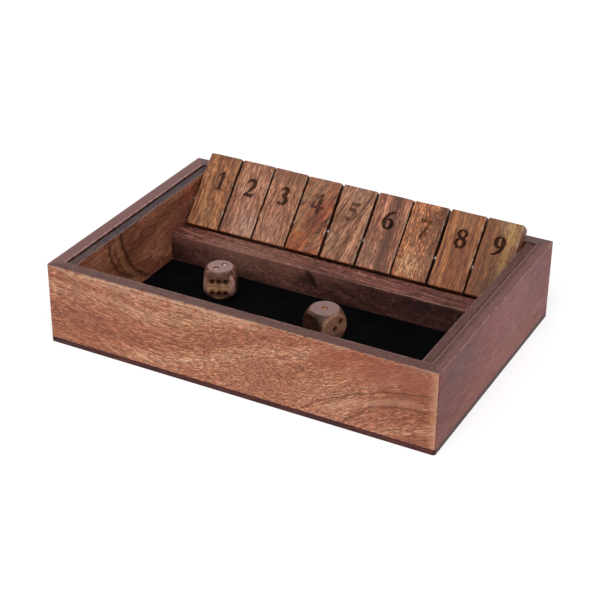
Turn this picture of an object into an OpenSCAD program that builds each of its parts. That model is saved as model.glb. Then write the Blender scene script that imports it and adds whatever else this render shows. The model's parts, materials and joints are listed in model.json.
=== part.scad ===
// Shut the box game: a mitred wooden tray box, nine number tiles that swing on
// one steel rod, a felt lined throwing tray and two loose dice.
// Lengths are in millimetres and angles in degrees. The origin is the centre of
// the underside: +X runs along the row of tiles to the player's right, +Y away
// from the player, and +Z up.

/* [Box] */
// Overall length, along the row of tiles
box_l = 290; // [240:1:360]
// Overall depth, from the player's side to the back
box_w = 200; // [180:1:260]
// Height of the box with its base, without the tiles
box_h = 60; // [54:0.5:75]
// Thickness of the four outer walls
wall_t = 9.5; // [7:0.5:14]
// Thickness of the base board
base_t = 4; // [3:0.5:8]
// Radius of the four upright corners
corner_r = 2; // [1:0.5:5]
// Radius of the worn long edges of walls, liners and rail
edge_r = 0.6; // [0.3:0.1:1.5]

/* [Side liners] */
// Thickness of the board inside each side wall
liner_t = 6.9; // [5:0.1:12]
// Gap between each side liner and its outer wall
liner_gap = 0.6; // [0.2:0.1:0.9]
// Height by which the side liners stay below the wall tops
liner_drop = 1.2; // [0.4:0.2:4]

/* [Rail] */
// Height of the rail above the base board
rail_h = 24; // [18:0.5:30]
// Strip of rail that shows in front of tiles that are folded down
rail_lip = 0.8; // [0.5:0.1:4]

/* [Throwing tray] */
// Thickness of the board that carries the felt
lining_t = 2.8; // [2:0.2:5]
// Thickness of the felt
felt_t = 1.2; // [0.8:0.1:3]
// Gap between the felted board and what stands around it
lining_gap = 0.3; // [0.1:0.1:1]

/* [Number tiles] */
// Thickness of a tile
tile_t = 10.6; // [8:0.2:13]
// Length of a tile above its pivot
tile_above = 37.1; // [32:0.1:44]
// Length of a tile below its pivot
tile_below = 20.5; // [17:0.1:24]
// Mean gap between neighbouring tiles
tile_gap = 1.45; // [0.8:0.05:3]
// Gap between the row of tiles and each side liner
end_gap = 2; // [1:0.1:5]
// Radius of the eased edges of a tile
tile_edge_r = 0.8; // [0.4:0.1:1.5]
// Radius of the back edge of a tile's free end
tile_back_r = 2.4; // [1.5:0.1:4]

/* [Hinge rod] */
// Diameter of the steel rod
rod_d = 4; // [3:0.5:6]
// Height of the rod's axis above the top of the rail
pivot_rise = 14.3; // [10:0.1:17]
// Radial play of a tile on the rod
rod_play = 0.1; // [0.02:0.01:0.1]
// Radial clearance of the rod in the side liners
rod_fit = 0.03; // [0.01:0.01:0.1]
// Gap between each end of the rod and the outer wall
rod_end_gap = 0.3; // [0.1:0.1:1]

/* [Swing clearances] */
// Gap between a raised tile and the back wall's top edge
rest_gap = 0.2; // [0.1:0.1:1]
// Gap between a folded tile and the rail
shut_gap = 0.2; // [0.1:0.1:1]
// Gap between a tile's swinging lower end and the back wall
wall_clear = 2.3; // [1:0.1:6]
// Gap between a tile's swinging lower end and the rail
rail_clear = 1; // [0.5:0.1:3]

/* [Base pins] */
// Diameter of a panel pin
pin_d = 1.6; // [1.2:0.1:2.4]
// Length of a panel pin with its head
pin_l = 18; // [14:1:20]
// Diameter of a panel pin's head
pin_head_d = 3; // [2.6:0.1:4]
// Thickness of a panel pin's head
pin_head_t = 0.8; // [0.5:0.1:1.5]
// Depth of the heads below the underside
pin_sink = 0.2; // [0.1:0.1:0.5]
// Distance of the last pin from the end of a wall
pin_inset = 24; // [16:1:40]
// Radial clearance round a pin
pin_fit = 0.03; // [0.01:0.01:0.05]

/* [Dice] */
// Width of a die across two opposite faces
die_w = 23; // [16:0.5:25]
// Radius of the round flat left on each face
die_flat_r = 10; // [6:0.1:10]
// Diameter of a drilled spot
pip_d = 3.3; // [2:0.1:3.6]
// Distance of the outer spots from the middle of a face, in each direction
pip_step = 4.7; // [3.8:0.1:5]

/* [Hidden] */
$fn = 64;
cut = 1; // how far a cutting tool runs past what it cuts

// Clear space between the outer walls and between the side liners
inner_l = box_l - 2 * wall_t;
inner_w = box_w - 2 * wall_t;
row_l = inner_l - 2 * (liner_gap + liner_t);
back_y = inner_w / 2;
front_y = -inner_w / 2;

// Levels
rail_top = base_t + rail_h;
lining_top = base_t + lining_t;
felt_top = lining_top + felt_t;
pivot_z = rail_top + pivot_rise;

// The lower end of a tile sweeps a circle that misses the back wall and the rail
sweep_r = norm([tile_below, tile_t / 2]);
pivot_y = back_y - wall_clear - sweep_r;
rail_back_y = pivot_y - sqrt(pow(sweep_r + rail_clear, 2) - pow(pivot_rise, 2));

// A raised tile leans back until its back face meets the eased edge of the back wall
stop = [back_y + edge_r - pivot_y, box_h - edge_r - pivot_z];
lean = acos((tile_t / 2 + rest_gap + edge_r) / norm(stop)) - atan2(stop[1], stop[0]);

// A folded tile comes down until the front edge of its free end meets the rail
tip = [tile_above - tile_edge_r, tile_t / 2 - tile_edge_r];
droop = asin((pivot_rise - shut_gap - tile_edge_r) / norm(tip)) - atan2(tip[1], tip[0]);
swing = lean + 90 + droop;
tip_reach = tip[0] * cos(droop) - tip[1] * sin(droop) + tile_edge_r;
rail_front_y = pivot_y - tip_reach - rail_lip;

// The nine tiles share what the gaps leave, and each has drifted a little
// sideways on the rod, by a share of the smaller gap
tile_count = 9;
tile_w = (row_l - 2 * end_gap - (tile_count - 1) * tile_gap) / tile_count;
drift = [0, 0.05, -0.1, -0.2, 0.25, 0.5, 0.25, 0.6, 0.5];
function tile_x(i) = (i - (tile_count - 1) / 2) * (tile_w + tile_gap)
    + drift[i] * min(tile_gap, end_gap);

// Dice: the places are measured from the middle of the throwing tray, and the
// faces are listed as top, front, right, back, left and bottom
tray_y = (front_y + rail_front_y) / 2;
die_ball_r = norm([die_w / 2, die_flat_r]);
die_places = [[-68.2, 31], [24.8, 13.4]];
die_turns = [24, -24];
die_faces = [[2, 6, 3, 1, 4, 5], [1, 2, 3, 5, 4, 6]];
face_turns = [[0, 0, 0], [90, 0, 0], [90, 0, 90], [90, 0, 180], [90, 0, -90], [180, 0, 0]];
spots = [
    [[0, 0]],
    [[-0.58, -0.58], [0.58, 0.58]],
    [[-1, -1], [0, 0], [1, 1]],
    [[-0.8, -0.8], [0.8, -0.8], [-0.8, 0.8], [0.8, 0.8]],
    [[-1, -1], [1, -1], [0, 0], [-1, 1], [1, 1]],
    [[-1, -1], [0, -1], [1, -1], [-1, 1], [0, 1], [1, 1]]
];

// Sides of the box: how far each is turned from the front, its length, how far
// apart it and its opposite side stand, and how many pins hold the base to it
FRONT = [0, box_l, box_w, 4];
BACK = [180, box_l, box_w, 4];
LEFT = [-90, box_w, box_l, 3];
RIGHT = [90, box_w, box_l, 3];

// ---- Shapes that several pieces share ----

// A flat rectangle from lo to hi, its corners rounded by r, in the order
// low left, low right, high right, high left
module eased_rect(lo, hi, r) {
    polygon([
        [lo[0] + r[0], lo[1]], [hi[0] - r[1], lo[1]],
        [hi[0], lo[1] + r[1]], [hi[0], hi[1] - r[2]],
        [hi[0] - r[2], hi[1]], [lo[0] + r[3], hi[1]],
        [lo[0], hi[1] - r[3]], [lo[0], lo[1] + r[0]]
    ]);
    translate([lo[0] + r[0], lo[1] + r[0]]) circle(r[0]);
    translate([hi[0] - r[1], lo[1] + r[1]]) circle(r[1]);
    translate([hi[0] - r[2], hi[1] - r[2]]) circle(r[2]);
    translate([lo[0] + r[3], hi[1] - r[3]]) circle(r[3]);
}

// Turns a flat (Y, Z) section into a bar of length l that runs along X
module along_x(l) {
    rotate([90, 0, 90]) linear_extrude(l, center = true) children();
}

// The outline of the box, seen from above
module footprint() {
    corner = [box_l / 2, box_w / 2];
    eased_rect(-corner, corner, [corner_r, corner_r, corner_r, corner_r]);
}

// A straight board along X whose two top edges are eased, its ends left square
module eased_board(l, y0, y1, z0, z1) {
    along_x(l) eased_rect([y0, z0], [y1, z1], [0.01, 0.01, edge_r, edge_r]);
}

// ---- Panel pins ----

module pin(grow = 0) {
    cylinder(h = pin_head_t, r = pin_head_d / 2 + grow);
    cylinder(h = pin_l, r = pin_d / 2 + grow);
}

// A pin's hole runs down through the underside, to take its sunk head
module pin_hole() {
    translate([0, 0, pin_sink]) pin(pin_fit);
    translate([0, 0, -cut]) cylinder(h = cut + pin_sink + pin_head_t / 2, r = pin_head_d / 2 + pin_fit);
}

module at_side_pins(side) {
    span = side[1] - 2 * pin_inset;
    for (i = [0:side[3] - 1])
        translate([-span / 2 + i * span / (side[3] - 1), (wall_t - side[2]) / 2, 0]) children();
}

module at_rail_pins() {
    for (i = [-1:1])
        translate([i * (row_l / 2 - pin_inset), (rail_front_y + rail_back_y) / 2, 0]) children();
}

// ---- Box ----

// One outer wall, made as the front one and then turned to its side: the section
// has eased top edges and the ends are mitred
module outer_wall(side) {
    l = side[1];
    w = side[2];
    rotate([0, 0, side[0]]) difference() {
        intersection() {
            eased_board(l, -w / 2, -w / 2 + wall_t, base_t, box_h);
            linear_extrude(box_h) polygon([
                [-l / 2, -w / 2], [l / 2, -w / 2],
                [l / 2 - wall_t, -w / 2 + wall_t], [-l / 2 + wall_t, -w / 2 + wall_t]
            ]);
            rotate([0, 0, -side[0]]) linear_extrude(box_h) footprint();
        }
        at_side_pins(side) pin_hole();
    }
}

module front_wall() { color("#A0694B") outer_wall(FRONT); }
module back_wall() { color("#8A5F4C") outer_wall(BACK); }
module left_wall() { color("#7F6163") outer_wall(LEFT); }
module right_wall() { color("#7D5F62") outer_wall(RIGHT); }

module base_board() {
    color("#4A2A22") difference() {
        linear_extrude(base_t) footprint();
        for (side = [FRONT, BACK, LEFT, RIGHT]) rotate([0, 0, side[0]]) at_side_pins(side) pin_hole();
        at_rail_pins() pin_hole();
    }
}

module base_pins() {
    color("#8C8C8E") translate([0, 0, pin_sink]) {
        for (side = [FRONT, BACK, LEFT, RIGHT]) rotate([0, 0, side[0]]) at_side_pins(side) pin();
        at_rail_pins() pin();
    }
}

// ---- Inside the box ----

// The board inside a side wall, which carries one end of the rod. The hand is -1
// at the left and 1 at the right
module liner(hand) {
    translate([hand * (row_l + liner_t) / 2, 0, 0]) difference() {
        rotate([0, 0, 90])
            eased_board(inner_w, -liner_t / 2, liner_t / 2, base_t, box_h - liner_drop);
        translate([0, pivot_y, pivot_z]) rotate([0, 90, 0])
            cylinder(h = liner_t + 2 * cut, r = rod_d / 2 + rod_fit, center = true);
    }
}

module left_liner() { color("#93603F") liner(-1); }
module right_liner() { color("#87563B") liner(1); }

module tile_rail() {
    color("#6B4A45") difference() {
        eased_board(row_l, rail_front_y, rail_back_y, base_t, rail_top);
        at_rail_pins() pin_hole();
    }
}

// A flat sheet that fills the floor of the throwing tray
module tray_sheet(z, t) {
    translate([-row_l / 2 + lining_gap, front_y + lining_gap, z])
        cube([row_l - 2 * lining_gap, rail_front_y - front_y - 2 * lining_gap, t]);
}

module lining_board() { color("#B08C62") tray_sheet(base_t, lining_t); }
module felt_lining() { color("#17161A") tray_sheet(lining_top, felt_t); }

// ---- Tiles and their rod ----

module hinge_rod() {
    color("#B9BCC0") translate([0, pivot_y, pivot_z]) rotate([0, 90, 0])
        cylinder(h = inner_l - 2 * rod_end_gap, r = rod_d / 2, center = true);
}

// A tile about its pivot: +Z points to its free end and -Y to its numbered face
module tile_blank() {
    half = tile_t / 2;
    e = tile_edge_r;
    difference() {
        intersection() {
            along_x(tile_w) eased_rect([-half, -tile_below], [half, tile_above], [e, e, tile_back_r, e]);
            translate([0, 0, -tile_below])
                linear_extrude(tile_below + tile_above)
                    eased_rect([-tile_w / 2, -half], [tile_w / 2, half], [e, e, e, e]);
            rotate([90, 0, 0]) linear_extrude(tile_t, center = true)
                eased_rect([-tile_w / 2, -tile_below], [tile_w / 2, tile_above], [e, e, e, e]);
        }
        rotate([0, 90, 0]) cylinder(h = tile_w + 2 * cut, r = rod_d / 2 + rod_play, center = true);
    }
}

// Tile i, counted from 0 at the player's left, raised and leaning on the back wall
module tile(i) {
    shade = ["#A9784A", "#A57558", "#94684C", "#9A623F", "#A37850",
             "#8F6450", "#A26F47", "#9C6B45", "#A5784B"];
    color(shade[i]) translate([tile_x(i), pivot_y, pivot_z]) rotate([-lean, 0, 0]) tile_blank();
}

// ---- Dice ----

// A cube whose corners and edges are turned off by a ball, leaving round faces
module die(i) {
    color("#84614A")
        translate([die_places[i][0], tray_y + die_places[i][1], felt_top + die_w / 2])
            rotate([0, 0, die_turns[i]]) difference() {
                intersection() {
                    cube(die_w, center = true);
                    sphere(die_ball_r);
                }
                for (f = [0:5]) rotate(face_turns[f]) for (s = spots[die_faces[i][f] - 1])
                    translate([s[0] * pip_step, s[1] * pip_step, die_w / 2]) sphere(pip_d / 2);
            }
}

front_wall();
back_wall();
left_wall();
right_wall();
base_board();
base_pins();
left_liner();
right_liner();
tile_rail();
lining_board();
felt_lining();
hinge_rod();
for (i = [1:tile_count]) tile(i - 1);
die(0);  // die_1
die(1);  // die_2
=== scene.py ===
"""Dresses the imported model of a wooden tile-flipping dice box and sets up its studio.

The box, its rail and its rod keep their CAD shapes and get oiled and stained woods
and drawn steel. The nine numbered tiles, the two dice, the felt and the panel pins
are made again here with the detail that hand work leaves on them.

Lengths and places are in millimetres, unless their own words say otherwise.
"""

import json
import logging
import math
from dataclasses import dataclass, field
from enum import Enum
from typing import ClassVar

import bpy
import numpy as np
from bpy.types import GeometryNodeTree, Material, Node, Object
from bpy.types import NodeSocket as Socket, NodeTree as Tree
from mathutils import Matrix, Vector

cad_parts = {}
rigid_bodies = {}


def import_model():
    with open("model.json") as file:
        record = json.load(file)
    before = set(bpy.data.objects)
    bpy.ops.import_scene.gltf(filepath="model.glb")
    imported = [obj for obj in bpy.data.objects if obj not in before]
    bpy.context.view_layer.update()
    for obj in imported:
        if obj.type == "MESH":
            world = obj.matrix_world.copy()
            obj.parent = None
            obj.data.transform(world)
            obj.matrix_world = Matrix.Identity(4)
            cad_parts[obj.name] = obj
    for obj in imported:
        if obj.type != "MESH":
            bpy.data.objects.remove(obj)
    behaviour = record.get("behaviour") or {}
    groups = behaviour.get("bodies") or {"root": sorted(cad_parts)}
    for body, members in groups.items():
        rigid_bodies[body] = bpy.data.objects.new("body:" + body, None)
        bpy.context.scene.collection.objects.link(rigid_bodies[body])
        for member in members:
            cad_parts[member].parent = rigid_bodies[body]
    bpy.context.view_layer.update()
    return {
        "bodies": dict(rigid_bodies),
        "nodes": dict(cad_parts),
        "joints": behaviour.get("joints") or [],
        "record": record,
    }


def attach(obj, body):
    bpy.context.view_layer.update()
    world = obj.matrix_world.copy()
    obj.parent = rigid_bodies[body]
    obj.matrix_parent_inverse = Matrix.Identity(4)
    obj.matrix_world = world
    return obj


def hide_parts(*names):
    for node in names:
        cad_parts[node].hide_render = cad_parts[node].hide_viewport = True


log = logging.getLogger("tile_box")

MM = 0.001  # metres in a millimetre
SMOOTH = {"interpolation_type": "SMOOTHSTEP"}  # a share that rises softly between its ends

Pair = tuple[float, float]
Point = tuple[float, float, float]
Faces = list[tuple[int, ...]] | np.ndarray


def linear(hex_colour: str) -> tuple[float, float, float, float]:
    """Turn an sRGB hex colour to linear light.

    Args:
        hex_colour: Six hex digits after a hash sign.

    Returns:
        Red, green, blue and an opacity of one.
    """
    parts = [int(hex_colour[i : i + 2], 16) / 255 for i in (1, 3, 5)]
    light = [c / 12.92 if c <= 0.04045 else ((c + 0.055) / 1.055) ** 2.4 for c in parts]
    return (*light, 1.0)


class Kind(str, Enum):
    """The nodes that are used most, by Blender's names."""

    MATH = "ShaderNodeMath"
    VECTOR = "ShaderNodeVectorMath"
    RANGE = "ShaderNodeMapRange"
    NOISE = "ShaderNodeTexNoise"
    MIX = "ShaderNodeMix"


def add_node(
    tree: Tree,
    kind: Kind | str,
    inputs: dict[str | int, object] | None = None,
    out: int = 0,
    stops: list[tuple[float, str]] | None = None,
    **settings: object,
) -> Socket | Node:
    """Add a node with its settings, its values and its links.

    Args:
        tree: Node tree that takes the node.
        kind: Blender's name of the node.
        inputs: Value or output socket for each input, by name or place.
        out: Place of the output that is wanted.
        stops: Places and hex colours of a colour ramp.
        **settings: Properties of the node itself.

    Returns:
        The wanted output socket, or the node where it has none.
    """
    made = tree.nodes.new(kind.value if isinstance(kind, Kind) else kind)
    for name, value in settings.items():
        setattr(made, name, value)
    if stops:
        ramp = made.color_ramp
        while len(ramp.elements) < len(stops):
            ramp.elements.new(1.0)
        for element, (place, colour) in zip(ramp.elements, stops):
            element.position = place
            element.color = linear(colour)
    for name, value in (inputs or {}).items():
        socket = made.inputs[name]
        if isinstance(value, Socket):
            tree.links.new(value, socket)
        else:
            socket.default_value = value
    return made.outputs[out] if len(made.outputs) else made


def blank_material(name: str) -> tuple[Material, Tree]:
    """Start a material with an empty node tree.

    Args:
        name: Name of the material.

    Returns:
        The material and its node tree.
    """
    made = bpy.data.materials.new(name)
    made.use_nodes = True
    made.node_tree.nodes.clear()
    return made, made.node_tree


def geometry_tree(name: str, inputs: dict[str, str]) -> tuple[GeometryNodeTree, list[Socket]]:
    """Start a geometry node tree with named inputs.

    Args:
        name: Name of the tree.
        inputs: Kind of each input by its name, the geometry first.

    Returns:
        The tree, and the sockets that hand out its inputs.
    """
    tree = bpy.data.node_groups.new(name, "GeometryNodeTree")
    for label, kind in inputs.items():
        tree.interface.new_socket(label, in_out="INPUT", socket_type="NodeSocket" + kind)
    tree.interface.new_socket("Result", in_out="OUTPUT", socket_type="NodeSocketGeometry")
    return tree, list(tree.nodes.new("NodeGroupInput").outputs)


def end_tree(tree: GeometryNodeTree, shape: Socket, finish: Material) -> None:
    """End a geometry node tree: instances made real, one finish, and the result handed out.

    Args:
        tree: The node tree.
        shape: What it has made.
        finish: Material of all of it.
    """
    real = add_node(tree, "GeometryNodeRealizeInstances", {0: shape})
    dressed = add_node(tree, "GeometryNodeSetMaterial", {0: real, "Material": finish})
    add_node(tree, "NodeGroupOutput", {0: dressed})


def mesh_object(name: str, points: np.ndarray, faces: Faces) -> Object:
    """Make a smoothly shaded object of the scene from points in millimetres.

    Args:
        name: Name of the object and its mesh.
        points: Array of points, three columns.
        faces: Corner places of each face.

    Returns:
        The new object, at the origin.
    """
    mesh = bpy.data.meshes.new(name)
    mesh.from_pydata((np.asarray(points) * MM).tolist(), [], [tuple(map(int, f)) for f in faces])
    mesh.polygons.foreach_set("use_smooth", [True] * len(mesh.polygons))
    mesh.update()
    made = bpy.data.objects.new(name, mesh)
    bpy.context.scene.collection.objects.link(made)
    return made


def keep(made: Object, name: str, values: np.ndarray) -> None:
    """Keep a number or a way for each point of a mesh.

    Args:
        made: Object that has the mesh.
        name: Name of the attribute.
        values: The numbers, or the ways in three columns.
    """
    kind, part = ("FLOAT", "value") if values.ndim == 1 else ("FLOAT_VECTOR", "vector")
    held = made.data.attributes.new(name, kind, "POINT")
    held.data.foreach_set(part, values.astype(np.float32).ravel())


def unevenness(points: np.ndarray, size: float, seed: int) -> np.ndarray:
    """Slow swelling of a hand-sanded surface, as a sum of long waves.

    Args:
        points: Array of points.
        size: Length of the shortest wave.
        seed: Picks the waves.

    Returns:
        One value from about -1 to 1 for each point.
    """
    rng = np.random.default_rng(seed)
    total = np.zeros(len(points))
    for _ in range(7):
        way = rng.normal(size=3)
        way /= np.linalg.norm(way)
        length = size * rng.uniform(1, 3)
        total += np.sin(points @ way * (2 * math.pi / length) + rng.uniform(0, 6.28))
    return total / 4


# ---- Finishes ----


class Axis(Enum):
    """An axis of a board's own frame: along the grain, across it, and out of its face."""

    ALONG = 0
    ACROSS = 1
    OUT = 2


@dataclass(frozen=True)
class Mark:
    """A stain, a line, an arc or a whole side of a board whose colour differs.

    Attributes:
        at: A point of it, or the middle of its arc, in the board's own frame.
        along: Axes that it runs along: none for a round stain, one for a line or an arc,
            two for a side.
        reach: How far it spreads.
        colour: Its colour.
        strength: Share of that colour where it is strongest.
        radius: Radius of its arc, and zero for the others.
        broken: How much it comes and goes, from 0 to 1.
        within: Place along, place across and radius of the patch that it stays in.
    """

    at: Point
    along: tuple[Axis, ...]
    reach: float
    colour: str
    strength: float = 0.8
    radius: float = 0.0
    broken: float = 0.6
    within: Point | None = None

    @property
    def under_pores(self) -> bool:
        """Whether it is a round mark that lies under the pores, which still show through: a stain, and on
        some boards a patch of painted shade.
        """
        return not self.along

    def share(self, tree: Tree, place: Socket, ragged: Socket) -> Socket:
        """How much of the mark's colour lies at a place.

        Args:
            tree: Node tree of the material.
            place: Place in the board's own frame.
            ragged: Noise that breaks the mark up, mostly between 0.35 and 0.65.

        Returns:
            From zero to the mark's strength.
        """
        across = tuple(0.0 if axis in self.along else 1.0 for axis in Axis)
        off = add_node(tree, Kind.VECTOR, {0: place, 1: self.at}, operation="SUBTRACT")
        flat = add_node(tree, Kind.VECTOR, {0: off, 1: across}, operation="MULTIPLY")
        away = add_node(tree, Kind.VECTOR, {0: flat}, out=1, operation="LENGTH")
        if self.radius:
            past = add_node(tree, Kind.MATH, {0: away, 1: self.radius}, operation="SUBTRACT")
            away = add_node(tree, Kind.MATH, {0: past}, operation="ABSOLUTE")
        least, most = self.reach * (1 - self.broken), self.reach * (1 + self.broken)
        width = add_node(tree, Kind.RANGE, {0: ragged, 1: 0.35, 2: 0.65, 3: least, 4: most})
        top = self.strength
        if self.within:
            *middle, radius = self.within
            flat = add_node(tree, Kind.VECTOR, {0: place, 1: (1, 1, 0)}, operation="MULTIPLY")
            ends = {0: flat, 1: (*middle, 0)}
            far = add_node(tree, Kind.VECTOR, ends, out=1, operation="DISTANCE")
            fade = {0: far, 1: radius, 2: radius * 0.6, 3: 0.0, 4: self.strength}
            top = add_node(tree, Kind.RANGE, fade, **SMOOTH)
        return add_node(tree, Kind.RANGE, {0: away, 1: width, 2: 0.0, 3: 0.0, 4: top}, **SMOOTH)


@dataclass(frozen=True)
class Knot:
    """A knot that the grain flows round.

    Attributes:
        at: Its middle in the grain's own frame.
        size: Radius of its dark heart.
        push: How far the grain is pushed aside.
    """

    at: Point
    size: float
    push: float


@dataclass(frozen=True)
class Swell:
    """A place where the grain arches, as over a bulge of the trunk.

    Attributes:
        at: Its middle along and across the grain.
        reach: How far it spreads along and across.
        rise: Height of the arch.
    """

    at: Pair
    reach: Pair
    rise: float


@dataclass(frozen=True)
class WoodFinish:
    """Mango wood, sawn, sanded by hand, stained and wiped with thin oil.

    It shows soft bands of growth, dark pores and pale fibres cut short by the
    interlocked grain, a ripple where the grain curls, and a low sheen.

    Attributes:
        name: Name of the material.
        pale: Colour of the earliest wood.
        mid: Colour that most of the board has.
        dark: Colour of the latest wood.
        pore: Colour in the pores.
        flush: Colour of the patches that took more stain.
        centre: Origin of the grain's frame.
        grain: Way that the grain runs, the frame's first axis.
        face: Way that the board's main side faces, the frame's third axis.
        pith: How far the tree's heart lies from the centre, along the frame's Y and Z.
        slant: Tilt of the heart against the board in degrees, about Y and Z.
        lie: Turn of the fibres in the board's face in degrees.
        taper: Growth of a ring's radius along the board, which draws arches.
        ring: Spacing of the bands.
        band_share: How much the bands show beside the fibres.
        flow: How far the grain wanders, and over what length.
        curl: Height and length of the curly ripple.
        curl_at: Middle and radius of the curly patch: along, across, radius.
        pores: Length and width of a pore, and how many there are.
        thread: Width of the thin dark lines between the fibres, as a share of their spacing.
        pore_share: How dark the pores are.
        fleck_share: How pale the fibres between the pores are.
        flush_share: How strong the stained patches are.
        patch: Length and width of the stained patches.
        seed: Moves the pattern.
        roughness: Least and greatest roughness.
        relief: Depth of the pores.
        gloss: Strength of the oil's reflection.
        char_gloss: The same where the wood is burnt, and none where that makes no difference.
        coat: Weight of a clear coat over the oil.
        marks: Worn, dirty or stained places, and painted highlights, sheen and shade.
        knots: Knots in the board.
        swells: Places where the grain arches.
    """

    name: str
    pale: str
    mid: str
    dark: str
    pore: str
    flush: str
    centre: Point = (0, 0, 0)
    grain: Point = (1, 0, 0)
    face: Point = (0, 0, 1)
    pith: Pair = (30, -40)
    slant: Pair = (2, 3)
    lie: float = 0.0
    taper: float = 0.05
    ring: float = 5.0
    band_share: float = 0.5
    flow: Pair = (3.0, 50.0)
    curl: Pair = (0.0, 7.0)
    curl_at: Point = (0, 0, 1000)
    pores: Point = (4.0, 1.2, 0.4)
    thread: float = 0.03
    pore_share: float = 0.6
    fleck_share: float = 0.4
    flush_share: float = 0.4
    patch: Pair = (70.0, 18.0)
    seed: float = 0.0
    roughness: Pair = (0.38, 0.55)
    relief: float = 0.12
    gloss: float = 0.5
    char_gloss: float | None = None
    coat: float = 0.0
    marks: tuple[Mark, ...] = ()
    knots: tuple[Knot, ...] = ()
    swells: tuple[Swell, ...] = ()

    def places(self, tree: Tree) -> tuple[Socket, Socket]:
        """Find a place on the board in the board's own terms.

        Args:
            tree: Node tree of the material.

        Returns:
            Millimetres in the board's own frame, and the same moved by the seed.
        """
        metres = add_node(tree, "ShaderNodeTexCoord", out=3)
        along, out = Vector(self.grain).normalized(), Vector(self.face).normalized()
        turn = Matrix((along, out.cross(along), out)).transposed().to_euler()
        frame = {0: metres, 1: tuple(c * MM for c in self.centre), 2: tuple(turn), 3: (MM, MM, MM)}
        own = add_node(tree, "ShaderNodeMapping", frame, vector_type="TEXTURE")
        far = tuple(self.seed * k for k in (131.0, 57.0, 91.0))
        return own, add_node(tree, Kind.VECTOR, {0: own, 1: far}, operation="ADD")

    def speckle(
        self, tree: Tree, place: Socket, sizes: Point, cut: Pair, top: float = 1.0, detail: float = 1.0
    ) -> Socket:
        """Draw flecks, as noise cut at two values.

        Args:
            tree: Node tree of the material.
            place: Place in the grain's frame.
            sizes: Length, width and depth of a fleck.
            cut: Values of the noise where a fleck begins and where it is full.
            top: Share of a full fleck.
            detail: How ragged a fleck is.

        Returns:
            From zero to the share of a full fleck.
        """
        squeezed = add_node(tree, Kind.VECTOR, {0: place, 1: sizes}, operation="DIVIDE")
        waves = add_node(tree, Kind.NOISE, {0: squeezed, "Scale": 1.0, "Detail": detail})
        return add_node(tree, Kind.RANGE, {0: waves, 1: cut[0], 2: cut[1], 4: top}, **SMOOTH)

    def threads(self, tree: Tree, place: Socket, sizes: Point, thin: float) -> Socket:
        """Draw thin lines, one where a noise passes its middle.

        Args:
            tree: Node tree of the material.
            place: Place in the grain's frame.
            sizes: Length, width and depth of the noise.
            thin: Half the width of a line, in the noise's own values.

        Returns:
            One in the middle of a line, and zero off it.
        """
        squeezed = add_node(tree, Kind.VECTOR, {0: place, 1: sizes}, operation="DIVIDE")
        waves = add_node(tree, Kind.NOISE, {0: squeezed, "Scale": 1.0, "Detail": 1.0})
        past = add_node(tree, Kind.MATH, {0: waves, 1: 0.5}, operation="SUBTRACT")
        away = add_node(tree, Kind.MATH, {0: past}, operation="ABSOLUTE")
        return add_node(tree, Kind.RANGE, {0: away, 1: 0.0, 2: thin, 3: 1.0, 4: 0.0})

    def swayed(
        self, tree: Tree, place: Socket, over: Socket, sizes: Point, height: Socket | float
    ) -> Socket:
        """Push a place to and fro by waves.

        Args:
            tree: Node tree of the material.
            place: Place to push.
            over: Place that the waves are read at.
            sizes: Size of a wave along each axis.
            height: Twice the height of a wave.

        Returns:
            The pushed place.
        """
        squeezed = add_node(tree, Kind.VECTOR, {0: over, 1: sizes}, operation="DIVIDE")
        waves = add_node(tree, Kind.NOISE, {0: squeezed, "Scale": 1.0, "Detail": 1.5}, out=1)
        about = add_node(tree, Kind.VECTOR, {0: waves, 1: (0.5, 0.5, 0.5)}, operation="SUBTRACT")
        push = add_node(tree, Kind.VECTOR, {0: about, "Scale": height}, operation="SCALE")
        return add_node(tree, Kind.VECTOR, {0: place, 1: push}, operation="ADD")

    def arched(self, tree: Tree, own: Socket, grain: Socket, swell: Swell) -> Socket:
        """Arch the grain over a swell.

        Args:
            tree: Node tree of the material.
            own: Place in the board's own frame.
            grain: The grain's frame as bent so far.
            swell: The swell.

        Returns:
            The grain's frame with the arch.
        """
        off = add_node(tree, Kind.VECTOR, {0: own, 1: (*swell.at, 0)}, operation="SUBTRACT")
        reach = (*(1 / r for r in swell.reach), 0)
        near = add_node(tree, Kind.VECTOR, {0: off, 1: reach}, operation="MULTIPLY")
        away = add_node(tree, Kind.VECTOR, {0: near}, out=1, operation="LENGTH")
        arch = {0: away, 1: 1.0, 2: 0.0, 3: 0.0, 4: -swell.rise}
        height = add_node(tree, Kind.RANGE, arch, **SMOOTH)
        push = add_node(tree, "ShaderNodeCombineXYZ", {1: height})
        return add_node(tree, Kind.VECTOR, {0: grain, 1: push}, operation="ADD")

    def parted(self, tree: Tree, own: Socket, grain: Socket, knot: Knot) -> Socket:
        """Bend the grain round a knot.

        Args:
            tree: Node tree of the material.
            own: Place in the board's own frame.
            grain: The grain's frame as bent so far.
            knot: The knot.

        Returns:
            The grain's frame parted at the knot.
        """
        off = add_node(tree, Kind.VECTOR, {0: own, 1: knot.at}, operation="SUBTRACT")
        away = add_node(tree, Kind.VECTOR, {0: off}, out=1, operation="LENGTH")
        fade = {0: away, 1: knot.size * 5, 2: 0.0, 3: 0.0, 4: -knot.push / knot.size}
        share = add_node(tree, Kind.RANGE, fade, interpolation_type="SMOOTHERSTEP")
        push = add_node(tree, Kind.VECTOR, {0: off, "Scale": share}, operation="SCALE")
        return add_node(tree, Kind.VECTOR, {0: grain, 1: push}, operation="ADD")

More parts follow.
